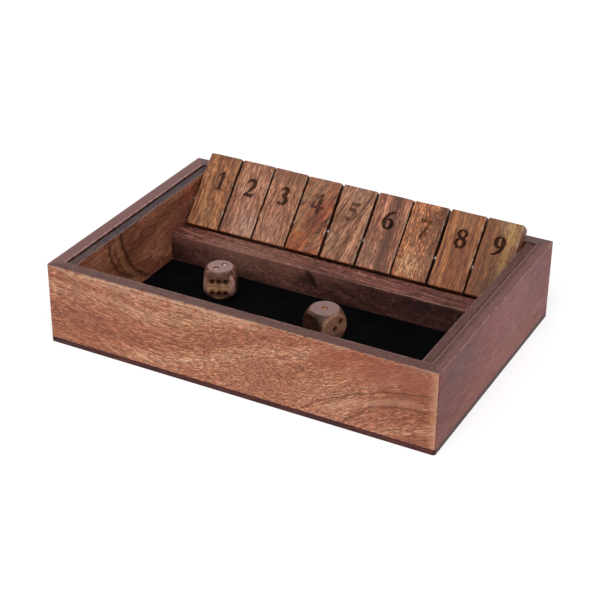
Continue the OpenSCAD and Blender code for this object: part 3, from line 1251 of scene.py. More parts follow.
# Strokes of each figure: x, y and full width along a middle line, as shares of its height
FIGURES: dict[int, list[list[Point]]] = {
    1: [
        [(0.16, 0.80, 0.04), (0.27, 0.86, 0.06), (0.37, 0.95, 0.09)],
        [(0.39, 0.93, 0.17), (0.39, 0.5, 0.17), (0.39, 0.05, 0.17)],
        [(0.19, 0.025, 0.05), (0.33, 0.03, 0.09), (0.45, 0.03, 0.09), (0.59, 0.025, 0.05)],
    ],
    2: [
        [(0.07, 0.70, 0.05), (0.15, 0.86, 0.09), (0.31, 0.93, 0.14), (0.47, 0.85, 0.19),
         (0.51, 0.68, 0.20), (0.42, 0.47, 0.14), (0.24, 0.24, 0.08), (0.07, 0.07, 0.06)],
        [(0.10, 0.08, 0.10), (0.25, 0.09, 0.16), (0.42, 0.08, 0.16), (0.55, 0.12, 0.10),
         (0.63, 0.27, 0.04)],
    ],
    3: [
        [(0.09, 0.76, 0.05), (0.18, 0.88, 0.09), (0.32, 0.93, 0.13), (0.46, 0.82, 0.18),
         (0.43, 0.64, 0.14), (0.25, 0.52, 0.06)],
        [(0.25, 0.52, 0.06), (0.42, 0.45, 0.15), (0.51, 0.28, 0.20), (0.42, 0.09, 0.15),
         (0.26, 0.035, 0.08), (0.12, 0.09, 0.13)],
    ],
    4: [
        [(0.40, 0.93, 0.06), (0.24, 0.64, 0.06), (0.06, 0.31, 0.07)],
        [(0.06, 0.27, 0.12), (0.35, 0.27, 0.12), (0.66, 0.27, 0.12)],
        [(0.45, 0.92, 0.17), (0.45, 0.5, 0.17), (0.45, 0.04, 0.17)],
    ],
    5: [
        [(0.19, 0.88, 0.13), (0.38, 0.88, 0.15), (0.54, 0.89, 0.15), (0.62, 0.96, 0.05)],
        [(0.18, 0.88, 0.06), (0.14, 0.70, 0.06), (0.11, 0.55, 0.06)],
        [(0.12, 0.55, 0.06), (0.28, 0.59, 0.12), (0.45, 0.50, 0.19), (0.51, 0.30, 0.20),
         (0.42, 0.11, 0.15), (0.25, 0.035, 0.09), (0.11, 0.08, 0.13)],
    ],
    6: [
        [(0.61, 0.96, 0.04), (0.44, 0.91, 0.08), (0.25, 0.75, 0.14), (0.15, 0.50, 0.19), (0.15, 0.25, 0.19),
         (0.24, 0.08, 0.12), (0.36, 0.04, 0.08), (0.48, 0.10, 0.13), (0.54, 0.27, 0.19), (0.50, 0.45, 0.16),
         (0.38, 0.54, 0.09), (0.24, 0.50, 0.06)],
    ],
    7: [
        [(0.07, 0.76, 0.04), (0.10, 0.84, 0.08), (0.14, 0.90, 0.13)],
        [(0.13, 0.88, 0.14), (0.36, 0.88, 0.15), (0.60, 0.90, 0.10)],
        [(0.60, 0.90, 0.07), (0.47, 0.56, 0.10), (0.33, 0.22, 0.13), (0.28, 0.05, 0.14)],
    ],
    8: [
        [(0.36, 0.53, 0.10), (0.20, 0.62, 0.14), (0.14, 0.77, 0.14), (0.22, 0.91, 0.10), (0.35, 0.95, 0.07),
         (0.48, 0.89, 0.11), (0.53, 0.75, 0.13), (0.47, 0.61, 0.09), (0.36, 0.53, 0.10)],
        [(0.36, 0.53, 0.10), (0.50, 0.44, 0.16), (0.57, 0.27, 0.15), (0.49, 0.10, 0.11), (0.34, 0.04, 0.08),
         (0.18, 0.11, 0.12), (0.11, 0.27, 0.14), (0.18, 0.43, 0.10), (0.36, 0.53, 0.10)],
    ],
}
FIGURES[9] = [[(0.68 - x, 1 - y, w) for x, y, w in line] for line in FIGURES[6]]


@dataclass
class Figure:
    """One numeral, stamped with a hot die.

    Attributes:
        number: The numeral.
        middle: Its centre on the tile's face, across and up.
        height: Its height.
        weight: How much bolder than drawn its strokes are.
    """

    number: int
    middle: Pair
    height: float = 14.2
    weight: float = 1.24

    HEART: ClassVar[Pair] = (0.345, 0.5)  # middle of a figure as drawn in FIGURES

    def lines(self) -> list[np.ndarray]:
        """Draw each stroke as a smooth run of points.

        Returns:
            For each stroke, x, y and full width of its points, as shares of the height.
        """
        steps = np.linspace(0, 1, 9)[:-1, None]
        found = []
        for line in FIGURES[self.number]:
            p = np.array(line)
            p = np.vstack([2 * p[0] - p[1], p, 2 * p[-1] - p[-2]])
            run = [
                0.5 * (2 * b + (c - a) * steps + (2 * a - 5 * b + 4 * c - d) * steps**2
                       + (3 * b - a - 3 * c + d) * steps**3)
                for a, b, c, d in zip(p[:-3], p[1:-2], p[2:-1], p[3:])
            ]
            found.append(np.vstack([*run, p[-2:-1]]))
        return found

    def distance(self, across: np.ndarray, up: np.ndarray) -> np.ndarray:
        """How far places on the tile are from the numeral's outline.

        Args:
            across: Places across the tile.
            up: Places along the tile.

        Returns:
            Millimetres, below zero inside the strokes.
        """
        u = (across - self.middle[0]) / self.height + self.HEART[0]
        v = (up - self.middle[1]) / self.height + self.HEART[1]
        best = np.full(u.shape, 9.0)
        for run in self.lines():
            for a, b in zip(run[:-1], run[1:]):
                way = b[:2] - a[:2]
                share = ((u - a[0]) * way[0] + (v - a[1]) * way[1]) / max(way @ way, 1e-9)
                share = np.clip(share, 0, 1)
                away = np.hypot(u - a[0] - share * way[0], v - a[1] - share * way[1])
                best = np.minimum(best, away - (a[2] + (b[2] - a[2]) * share) / 2 * self.weight)
        return best * self.height


# Lines across a rounded edge, from the edge inwards
ROUNDING = (0.0, 0.1, 0.28, 0.52, 0.85)


def box_grid(xs: np.ndarray, ys: np.ndarray, zs: np.ndarray) -> tuple[np.ndarray, dict[str, np.ndarray]]:
    """Points and faces of a box whose sides are grids of the given lines.

    Args:
        xs: Places of the lines across X.
        ys: Places of the lines across Y.
        zs: Places of the lines across Z.

    Returns:
        The points, and the four corners of each face by side.
    """
    nx, ny, nz = len(xs), len(ys), len(zs)
    i, j, k = np.meshgrid(range(nx), range(ny), range(nz), indexing="ij")
    rim = (i == 0) | (i == nx - 1) | (j == 0) | (j == ny - 1) | (k == 0) | (k == nz - 1)
    place = np.full((nx, ny, nz), -1)
    place[rim] = np.arange(rim.sum())
    points = np.stack([xs[i[rim]], ys[j[rim]], zs[k[rim]]], 1)

    def sheet(grid: np.ndarray, flip: bool) -> np.ndarray:
        """Join a grid of points by faces.

        Args:
            grid: Place of each point of one side.
            flip: Whether the faces are turned over.

        Returns:
            The four corners of each face.
        """
        a, b, c, d = grid[:-1, :-1], grid[1:, :-1], grid[1:, 1:], grid[:-1, 1:]
        corners = (a, d, c, b) if flip else (a, b, c, d)
        return np.stack([q.ravel() for q in corners], 1)

    sides = {
        "left": sheet(place[0], True),
        "right": sheet(place[-1], False),
        "front": sheet(place[:, 0], False),
        "back": sheet(place[:, -1], True),
        "bottom": sheet(place[:, :, 0], True),
        "top": sheet(place[:, :, -1], False),
    }
    return points, sides


def grid_lines(half: float | Pair, fine: Pair, step: float = 0.28, coarse: float = 1.5) -> np.ndarray:
    """Places of grid lines: close at the rounded ends and in a fine band, wide elsewhere.

    Args:
        half: Half the length, or its low and high end.
        fine: Low and high end of the fine band.
        step: Spacing in the fine band.
        coarse: Spacing elsewhere.

    Returns:
        The sorted places.
    """
    low, high = half if isinstance(half, tuple) else (-half, half)
    ends = np.array([*ROUNDING, 1.4, 2.0])
    parts = [low + ends, high - ends, np.arange(fine[0], fine[1] + step / 2, step)]
    for a, b in ((low + ends[-1], fine[0]), (fine[1], high - ends[-1])):
        count = max(int(round((b - a) / coarse)), 1)
        parts.append(np.linspace(a, b, count + 1)[1:-1])
    return np.unique(np.concatenate(parts).round(4))


# ---- The tiles ----


@dataclass(frozen=True)
class TileLook:
    """What sets one tile apart from its neighbours.

    Attributes:
        wood: Changes to the tiles' common wood.
        marks: Stains and streaks on it.
        press: Depth that its numeral is burnt to.
        burn: How black the numeral is.
        short: How much shorter the tile is sawn.
        place: Middle of its numeral, across and up.
    """

    wood: dict[str, object]
    marks: tuple[Mark, ...]
    press: float = 0.35
    burn: float = 0.85
    short: float = 0.0
    place: Pair = (0.0, 18.0)


@dataclass
class TileRow:
    """Nine numbered tiles that swing on one rod and lean on the back wall.

    Attributes:
        width: Width of a tile.
        thick: Thickness of a tile.
        above: Length of a tile above the rod.
        below: Length of a tile below the rod.
        ease: Rounding of the edges.
        back_ease: Rounding of the back top edge.
        bore: Radius of the rod's hole.
        bore_field: Half the side of the square round the hole that has its own grid lines.
        figure_x: Low and high end of the band across the tile that is fine enough for a numeral.
        figure_z: Low and high end of the band up the tile that is fine enough for one.
        pivot: Place of the rod across and up.
        lean: Lean of the raised tiles in degrees.
        middles: Place of each tile along the rod.
    """

    width: float = 26.7111
    thick: float = 10.6
    above: float = 37.1
    below: float = 20.5
    ease: float = 0.8
    back_ease: float = 2.4
    bore: float = 2.1
    bore_field: float = 3.3
    figure_x: Pair = (-5.6, 5.6)
    figure_z: Pair = (10.6, 25.4)
    pivot: Pair = (67.026, 42.3)
    lean: float = 42.6917
    middles: tuple[float, ...] = (
        -112.644, -84.4108, -56.4672, -28.4511, 0.3625, 28.8861, 56.6847, 85.3533, 113.369,
    )

    def looks(self) -> list[TileLook]:
        """Say how the nine tiles differ.

        Returns:
            The look of each tile, from 1 to 9.
        """
        along, across, out = Axis
        front = -self.thick / 2
        return [
            TileLook(
                dict(
                    pale="#DB9664", mid="#9D633D", dark="#794326", flush="#804625", char="#2C1A1B",
                    seed=11.3, slant=(1, 2),
                ),
                marks=(
                    Mark((36, 2, front), (), 8, "#6A3A26", 0.7),
                    Mark((-10, 0, front), (), 13, "#B8875E", 0.5, broken=0.5),
                    Mark((-8, 13, front), (), 13, "#5E3622", 0.5, broken=0.5),
                    Mark((42, -22, front), (out,), 0.6, "#6E4022", 0.6, radius=12),
                    Mark((42, -22, front), (out,), 0.7, "#6E4022", 0.6, radius=15.5),
                    Mark((42, -22, front), (out,), 0.6, "#6E4022", 0.5, radius=19),
                ),
                burn=1.0, place=(2.2, 17.0),
            ),
            TileLook(
                dict(
                    pale="#E6A681", mid="#A56A4F", dark="#824A32", flush="#B98271",
                    seed=12.9, slant=(1, 3), pores=(5.0, 0.8, 0.36),
                ),
                marks=(
                    Mark((14, -4, front), (), 6, "#C49C80", 0.5),
                    Mark((21, 4, front), (), 5, "#C49C80", 0.5),
                    Mark((-11, 9, front), (), 18, "#CCA390", 0.6, broken=0.5),
                    Mark((-11, -11, front), (), 13, "#633C2C", 0.6, broken=0.5),
                ),
                burn=0.94, place=(0.0, 17.1),
            ),
            TileLook(
                dict(
                    pale="#F0AB85", mid="#A96D50", dark="#824B33", flush="#9F624E",
                    seed=13.4, slant=(1, -2),
                ),
                marks=(
                    Mark((33, 0, front), (across,), 14, "#6A4431", 0.55, broken=0.5),
                    Mark((-11, -4, front), (), 20, "#BC8C72", 0.5, broken=0.5),
                ),
                burn=0.97, place=(0.2, 17.0),
            ),
            TileLook(
                dict(
                    pale="#CA7549", mid="#7E3A1C", dark="#42180A", flush="#81361C", char="#2C2022",
                    seed=14.8,
                    slant=(2, 3), ring=2.6, band_share=0.75, lie=28, flush_share=0.5, thread=0.06,
                    knots=(Knot((9, -3, front), 1.1, 2.5),),
                ),
                marks=(
                    Mark((-8, -8, front), (), 14, "#B86A34", 0.5),
                    Mark((32, -2, front), (), 22, "#AC846C", 0.5, broken=0.5),
                    Mark((20, -12, front), (), 15, "#AC8464", 0.5),
                    Mark((3, -12, front), (), 16, "#BC9068", 0.6),
                    Mark((4, 1, front), (), 14, "#5A2410", 0.7, broken=0.4),
                    Mark((-12, 11, front), (), 14, "#B88060", 0.6, broken=0.5),
                ),
                press=0.2, short=0.5,
            ),
            TileLook(
                dict(
                    pale="#E1A27E", mid="#956141", dark="#6B3C26", flush="#7D4933", char="#33221A",
                    seed=15.2, slant=(1, 2), ring=2.4, band_share=0.6, lie=18, fleck_share=0.6,
                ),
                marks=(
                    Mark((32, 0, front), (), 15, "#C4A28C", 0.3, broken=0.5),
                    Mark((-9, -11, front), (), 12, "#B08C70", 0.4, broken=0.5),
                ),
                press=0.18, burn=0.74, short=0.5,
            ),
            TileLook(
                dict(
                    pale="#E79E7A", mid="#9D6248", dark="#723F2D", flush="#8D513F", seed=16.6,
                    slant=(0.5, 1), ring=4.5, band_share=0.6,
                ),
                marks=(
                    Mark((0, 4, 0), (along, out), 9, "#553325", 0.6, broken=0.5),
                    Mark((0, 3, 0), (along, out), 3.0, "#472A1C", 0.6, broken=0.4),
                    Mark((-10, -10, front), (), 22, "#AC8269", 0.45, broken=0.5),
                    Mark((3, 2, front), (), 14, "#5A3222", 0.4),
                ),
                burn=1.0, short=0.3,
            ),
            TileLook(
                dict(
                    pale="#FDAB75", mid="#B36940", dark="#874527", flush="#B5663B", char="#33200F",
                    seed=17.1, slant=(1, 2), pores=(3.2, 0.95, 0.5),
                ),
                marks=(
                    Mark((33, 9, front), (), 7, "#5A3420", 0.7),
                    Mark((0, 13, 0), (along, out), 13, "#4E2C1C", 0.65, broken=0.5),
                    Mark((17, 6, front), (), 20, "#5E2E18", 0.6),
                    Mark((-11, -1, front), (), 18, "#E0B084", 0.6, broken=0.5),
                ),
                press=0.2, burn=0.76, short=0.4,
            ),
            TileLook(
                dict(
                    pale="#C98351", mid="#8B522F", dark="#68351E", flush="#773B23", seed=18.5,
                    slant=(0.5, 1), pore_share=0.5, fleck_share=0.4,
                ),
                marks=(
                    Mark((6, 0, front), (), 8, "#7A3F28", 0.5),
                    Mark((32, 0, front), (), 15, "#BE9068", 0.25, broken=0.5),
                ),
                burn=1.0, short=0.15, place=(0.2, 17.2),
            ),
            TileLook(
                dict(
                    pale="#B07241", mid="#794623", dark="#4E2611", flush="#8C5A2D", seed=19.9,
                    slant=(0.5, -2), ring=5.5, band_share=0.65,
                ),
                marks=(
                    Mark((0, -13, 0), (along, out), 12, "#7A452C", 0.6, broken=0.3),
                    Mark((0, 7, 0), (along, out), 5, "#B48C54", 0.45, broken=0.7),
                    Mark((0, 13.36, 0), (along, out), 0.5, "#8E5E48", 0.7, broken=0.3),
                    Mark((34, 5, front), (), 18, "#C8A274", 0.55, broken=0.5),
                    Mark((3, 11, front), (), 18, "#2A150C", 0.6, broken=0.5),
                    Mark((-12, 0, front), (), 16, "#482A19", 0.55, broken=0.5),
                ),
                burn=1.0,
            ),
        ]

    def finish(self, index: int, look: TileLook) -> ScorchedWoodFinish:
        """Choose the wood of one tile, with its grain up the tile.

        Args:
            index: Place in the row, from 0.
            look: What sets the tile apart.

        Returns:
            The finish.
        """
        along, across, out = Axis
        half_w, front, high = self.width / 2, -self.thick / 2, self.above - look.short
        sides = [x for x, shut in ((-half_w, index > 0), (half_w, index < 8)) if shut]
        edges = (
            # painted shade: the sides that face a neighbour across the narrow gap are dark
            *(Mark((0, x, 0), (along, out), 0.4, "#2A1711", 0.8, broken=0.3) for x in sides),
            # painted reflection: steel grey round the bore on those sides, for the rod's glint in the gaps
            *(Mark((0, x, 0), (), 4.5, "#C4CAD4", 0.9, broken=0.3) for x in sides if index in (4, 5, 6, 7)),
            # painted highlight along the right arris of the numbered face
            Mark((0, half_w, front), (along,), 0.8, "#CDB29C", 0.6, broken=0.9),
            Mark((high, 0, front), (across,), 0.6, "#4A2A1C", 0.6),
        )
        common = dict(
            pore="#3E2012", pores=(5.0, 0.78, 0.4), thread=0.085, pore_share=0.75, fleck_share=0.65,
            flow=(1.6, 26), ring=3.4, taper=0.03, pith=(18, -26), flush_share=0.45, patch=(26.0, 9.0),
            roughness=(0.42, 0.6), gloss=0.3,
        )
        lean = math.radians(self.lean)
        return ScorchedWoodFinish(
            f"tile_{index + 1}_mango",
            centre=(self.middles[index], *self.pivot), grain=(0, math.sin(lean), math.cos(lean)),
            face=(0, math.cos(lean), -math.sin(lean)), char_share=look.burn, char_gloss=0.04,
            marks=(*look.marks, *edges),
            **{**common, **look.wood},
        )

    def blank(self, look: TileLook, seed: int) -> tuple[np.ndarray, Faces, np.ndarray, np.ndarray]:
        """Rounded, slightly uneven block with a bore, in the tile's own frame.

        Args:
            look: What sets the tile apart.
            seed: Picks its unevenness.

        Returns:
            Points, faces, and the place across and up of each point before rounding,
            which is not a number off the numbered face.
        """
        half_w, half_t = self.width / 2, self.thick / 2
        low, high = -self.below, self.above - look.short
        bore_lines = np.linspace(-self.bore_field, self.bore_field, 7)
        xs = grid_lines(half_w, self.figure_x)
        front = -half_t + np.array(ROUNDING)
        back = half_t - np.array([0, 0.1, 0.28, 0.55, 0.9, 1.3, 1.8, 2.4])
        ys = np.unique(np.concatenate([front, bore_lines, back]).round(4))
        zs = grid_lines((low, high), self.figure_z)
        zs = zs[(np.abs(zs) > self.bore_field + 0.3)]
        top = high - np.array([0.85, 1.3, 1.8, 2.4, 3.2])
        zs = np.unique(np.concatenate([zs, bore_lines, top]).round(4))
        points, sides = box_grid(xs, ys, zs)
        flat = points.copy()
        ease = self.ease * (1.0 + 0.35 * unevenness(points, 9.0, seed + 50))
        ease = np.clip(ease, 0.55, 1.5)[:, None]
        lows, highs = np.array([-half_w, -half_t, low]), np.array([half_w, half_t, high])
        core = np.clip(points, lows + ease, highs - ease)
        extra = self.back_ease - self.ease
        arc = np.stack([core[:, 1] - (half_t - self.back_ease), core[:, 2] - (high - self.back_ease)], 1)
        in_corner = (arc > 0).all(1) & (np.hypot(arc[:, 0], arc[:, 1]) > extra)
        length = np.hypot(arc[:, 0], arc[:, 1])[in_corner]
        core[in_corner, 1] = half_t - self.back_ease + arc[in_corner, 0] * extra / length
        core[in_corner, 2] = high - self.back_ease + arc[in_corner, 1] * extra / length
        out = points - core
        reach = np.linalg.norm(out, axis=1, keepdims=True)
        normal = out / np.maximum(reach, 1e-9)
        hollow = 0.05 + 0.05 * unevenness(points, 14.0, seed)
        points = core + normal * (np.minimum(ease, self.ease * 1.2) - hollow[:, None])
        faces = [tuple(f) for side in ("front", "back", "bottom", "top") for f in sides[side]]
        faces += self.bored(points, flat, sides)
        on_face = np.abs(flat[:, 1] + half_t) < 1e-6
        across = np.where(on_face, flat[:, 0], np.nan)
        up = np.where(on_face, flat[:, 2], np.nan)
        return points, faces, across, up

    def bored(self, points: np.ndarray, flat: np.ndarray, sides: dict[str, np.ndarray]) -> Faces:
        """End faces with the block round the bore drawn in to a circle.

        The faces inside the bore are left out, the points of its rim move to its wall,
        and a tube joins the two ends.

        Args:
            points: Points of the rounded block; those of the rims are moved.
            flat: The same points before rounding.
            sides: Corners of each face by side.

        Returns:
            The faces of both ends and of the tube.
        """
        faces: list[tuple[int, ...]] = []
        rings = []
        edge = self.bore_field * 2 / 3
        for side in ("left", "right"):
            quads = sides[side]
            middle = flat[quads].mean(1)
            inside = (np.abs(middle[:, 1]) < edge) & (np.abs(middle[:, 2]) < edge)
            faces += [tuple(f) for f in quads[~inside]]
            used = np.unique(quads[inside])
            rim = used[np.maximum(np.abs(flat[used, 1]), np.abs(flat[used, 2])) > edge - 0.05]
            angle = np.arctan2(flat[rim, 2], flat[rim, 1])
            points[rim, 1] = self.bore * np.cos(angle)
            points[rim, 2] = self.bore * np.sin(angle)
            rings.append(rim[np.argsort(angle)])
        left, right = rings
        return faces + list(zip(left, np.roll(left, -1), np.roll(right, -1), right))

    def tile(self, index: int, look: TileLook) -> Object:
        """Make one tile with its numeral, in its raised place.

        Args:
            index: Place in the row, from 0.
            look: What sets the tile apart.

        Returns:
            The finished tile.
        """
        points, faces, across, up = self.blank(look, 100 + index)
        figure = Figure(index + 1, middle=look.place)
        on_face = ~np.isnan(across)
        ragged = 0.12 * unevenness(points[on_face], 1.6, 300 + index)
        away = figure.distance(across[on_face], up[on_face]) + ragged
        sunk = np.clip(0.5 - away / 0.4, 0, 1)
        sunk = sunk * sunk * (3 - 2 * sunk)
        points[on_face, 1] += look.press * sunk
        scorch = np.zeros(len(points))
        scorch[on_face] = np.clip(0.6 - away / 0.5, 0, 1)
        turn = math.radians(-self.lean)
        x, y, z = points.T
        across = x + self.middles[index]
        deep = y * math.cos(turn) - z * math.sin(turn) + self.pivot[0]
        high = y * math.sin(turn) + z * math.cos(turn) + self.pivot[1]
        placed = np.stack([across, deep, high], 1)
        used, inverse = np.unique(np.concatenate([np.array(f) for f in faces]), return_inverse=True)
        flat_faces = inverse.reshape(-1, 4)
        made = mesh_object(f"numbered_tile_{index + 1}", placed[used], flat_faces)
        keep(made, "scorch", scorch[used])
        made.data.materials.append(self.finish(index, look).material())
        return made

    def build(self) -> None:
        """Make the nine tiles, each on its own body."""
        for index, look in enumerate(self.looks()):
            made = self.tile(index, look)
            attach(made, f"flap_{index + 1}")
            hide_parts(f"tile_{index + 1}")
            log.info("%s has %d faces", made.name, len(made.data.polygons))


# ---- The dice ----


@dataclass
class Die:
    """A wooden die whose corners are turned off by a ball.

    Attributes:
        number: 1 for the die at the left, 2 for the other.
        middle: Its centre.
        turn: Its turn about Z in degrees.
        values: Spots on its top, front, right, back, left and bottom.
        glint: Pale colour of the spots that face up: a painted glint.
        width: Distance between opposite faces.
        ball: Radius of the ball.
        spot: Diameter of a spot.
        step: Distance of the outer spots from a face's middle.
        marks: Faces, edges and corners whose colour differs.
        blend: Rounding where a face meets the ball, as a share of the ball's radius.
    """

    number: int
    middle: Point
    turn: float
    values: tuple[int, ...]
    glint: str
    width: float = 23.0
    ball: float = 15.2398
    spot: float = 3.7
    step: float = 4.8
    marks: tuple[Mark, ...] = ()
    blend: float = 0.022

    # places of the spots for each number, in steps
    LAYOUT: ClassVar[dict[int, tuple[Pair, ...]]] = {
        1: ((0, 0),),
        2: ((-0.58, -0.58), (0.58, 0.58)),
        3: ((-1, -1), (0, 0), (1, 1)),
        4: ((-0.8, -0.8), (0.8, -0.8), (-0.8, 0.8), (0.8, 0.8)),
        5: ((-1, -1), (1, -1), (0, 0), (-1, 1), (1, 1)),
        6: ((-1, -1), (0, -1), (1, -1), (-1, 1), (0, 1), (1, 1)),
    }
    # each face's own right, up and outward way
    FACES: ClassVar[tuple[tuple[Point, Point, Point], ...]] = (
        ((1, 0, 0), (0, 1, 0), (0, 0, 1)),
        ((1, 0, 0), (0, 0, 1), (0, -1, 0)),
        ((0, 1, 0), (0, 0, 1), (1, 0, 0)),
        ((-1, 0, 0), (0, 0, 1), (0, 1, 0)),
        ((0, -1, 0), (0, 0, 1), (-1, 0, 0)),
        ((1, 0, 0), (0, -1, 0), (0, 0, -1)),
    )

    def spots(self) -> tuple[np.ndarray, np.ndarray]:
        """Set out every spot.

        Returns:
            Its middle and its outward way, in the die's own frame.
        """
        places, ways = [], []
        for face, value in zip(self.FACES, self.values):
            right, up, out = np.array(face)
            for a, b in self.LAYOUT[value]:
                places.append(right * a * self.step + up * b * self.step + out * self.width / 2)
                ways.append(out)
        return np.array(places), np.array(ways, float)

    def placed(self, points: np.ndarray, move: bool = True) -> np.ndarray:
        """Turn points of the die's own frame to its place on the felt."""
        turn = np.array(Matrix.Rotation(math.radians(self.turn), 3, "Z"))
        return points @ turn.T + (np.array(self.middle) if move else 0)

    def body(self) -> tuple[np.ndarray, np.ndarray, np.ndarray]:
        """Ball-turned cube with hollows where the spots are.

        Returns:
            Points in the die's own frame, faces, and how near each point is to a
            drilled spot, from 0 to 1.
        """
        half = self.width / 2
        lines = np.linspace(-half, half, 69)
        points, sides = box_grid(lines, lines, lines)
        length = np.linalg.norm(points, axis=1)
        pull = self.ball / length
        share = np.clip(0.5 + 0.5 * (pull - 1) / self.blend, 0, 1)
        scale = pull * (1 - share) + share - self.blend * share * (1 - share)
        points = points * np.minimum(scale, 1.0)[:, None]
        wear = 0.03 * (1 + unevenness(points, 7.0, 400 + self.number))
        points -= points / np.linalg.norm(points, axis=1, keepdims=True) * wear[:, None]
        near = np.zeros(len(points))
        places, ways = self.spots()
        for place, way in zip(places, ways):
            off = points - place
            deep = off @ way
            side = np.linalg.norm(off - np.outer(deep, way), axis=1)
            facing = np.abs(deep) < 1.2
            sink = np.clip(1 - (side / (self.spot / 2 - 0.05)) ** 2, 0, 1) * 0.85
            points -= np.outer(np.where(facing, sink, 0.0), way)
            ring = np.clip(1.35 - side / (self.spot / 2), 0, 0.35) / 0.35
            near = np.maximum(near, np.where(facing, ring, 0.0))
        faces = np.concatenate(list(sides.values()))
        return points, faces, near

    def finish(self) -> ScorchedWoodFinish:
        """Choose the brown wood of the die, dark where its spots were drilled.

        Returns:
            The finish.
        """
        turn = math.radians(self.turn)
        return ScorchedWoodFinish(
            f"die_{self.number}_wood",
            pale="#A87A62", mid="#664337", dark="#3E231B", pore="#26130E", flush="#5A362C",
            centre=self.middle, grain=(math.cos(turn), math.sin(turn), 0), ring=3.0,
            pores=(3.4, 0.9, 0.42), fleck_share=0.4, roughness=(0.32, 0.46), gloss=0.12, coat=0.04,
            char="#2A160E", char_share=0.8, seed=20.0 + self.number, marks=self.marks,
        )

    def spots_tree(self) -> GeometryNodeTree:
        """Set a shallow enamelled cup on every point that the tree is given.

        The cup is the lowest eighth turn of a ball, whose rim is a ring of its mesh.

        Returns:
            The node tree.
        """
        kinds = {"Points": "Geometry", "Spot Radius": "Float", "Thickness": "Float"}
        tree, given = geometry_tree("set_spots", kinds)
        points, radius, thickness = given[:3]
        size = add_node(tree, Kind.MATH, {0: radius, 1: math.sqrt(2)}, operation="MULTIPLY")
        ball = add_node(tree, "GeometryNodeMeshUVSphere", {"Segments": 24, "Rings": 12, "Radius": size})
        place = add_node(tree, "GeometryNodeInputPosition")
        height = add_node(tree, "ShaderNodeSeparateXYZ", {0: place}, out=2)
        rim = add_node(tree, Kind.MATH, {0: radius, 1: -0.99}, operation="MULTIPLY")
        upper = add_node(tree, Kind.MATH, {0: height, 1: rim}, operation="GREATER_THAN")
        rest = {"Geometry": ball, "Selection": upper}
        cap = add_node(tree, "GeometryNodeDeleteGeometry", rest, domain="POINT")
        lift = add_node(tree, "ShaderNodeCombineXYZ", {2: radius})
        cap = add_node(tree, "GeometryNodeTransform", {"Geometry": cap, "Translation": lift})
        cup = add_node(tree, "GeometryNodeFlipFaces", {0: cap})
        deep = add_node(tree, Kind.MATH, {0: thickness, 1: -1.0}, operation="MULTIPLY")
        down = add_node(tree, "ShaderNodeCombineXYZ", {2: deep})
        wall = {"Mesh": cup, "Offset": down, "Individual": False}
        under = add_node(tree, "GeometryNodeExtrudeMesh", wall, mode="FACES")
        under = add_node(tree, "GeometryNodeFlipFaces", {0: under})
        both = add_node(tree, "GeometryNodeJoinGeometry", {0: cup})
        tree.links.new(under, both.node.inputs[0])
        closed = add_node(tree, "GeometryNodeMergeByDistance", {"Geometry": both, "Distance": 1e-6})
        facing = {"Name": "facing"}
        way = add_node(tree, "GeometryNodeInputNamedAttribute", facing, data_type="FLOAT_VECTOR")
        turn = add_node(tree, "FunctionNodeAlignRotationToVector", {"Vector": way}, axis="Z")
        smooth = add_node(tree, "GeometryNodeSetShadeSmooth", {"Geometry": closed})
        row = {"Points": points, "Instance": smooth, "Rotation": turn}
        cups = add_node(tree, "GeometryNodeInstanceOnPoints", row)
        end_tree(tree, cups, SpotFinish(f"die_{self.number}_spot_enamel", glint=self.glint).material())
        return tree

    def build(self) -> None:
        """Make the die and its spots, on its own body."""
        points, faces, near = self.body()
        made = mesh_object(f"wooden_die_{self.number}", self.placed(points), faces)
        keep(made, "scorch", near)
        made.data.materials.append(self.finish().material())
        places, ways = self.spots()
        sizes = {"Spot Radius": self.spot / 2 * MM, "Thickness": 0.05 * MM}
        seedbed = mesh_object("spot_points", self.placed(places - ways * 0.06), [])
        keep(seedbed, "facing", self.placed(ways, move=False))
        cups = grown(f"die_{self.number}_spots", seedbed, self.spots_tree(), sizes)
        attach(made, f"loose_die_{self.number}")
        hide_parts(f"die_{self.number}")
        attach(cups, f"loose_die_{self.number}")
        log.info("%s has %d faces, its spots %d", made.name, len(faces), len(cups.data.polygons))


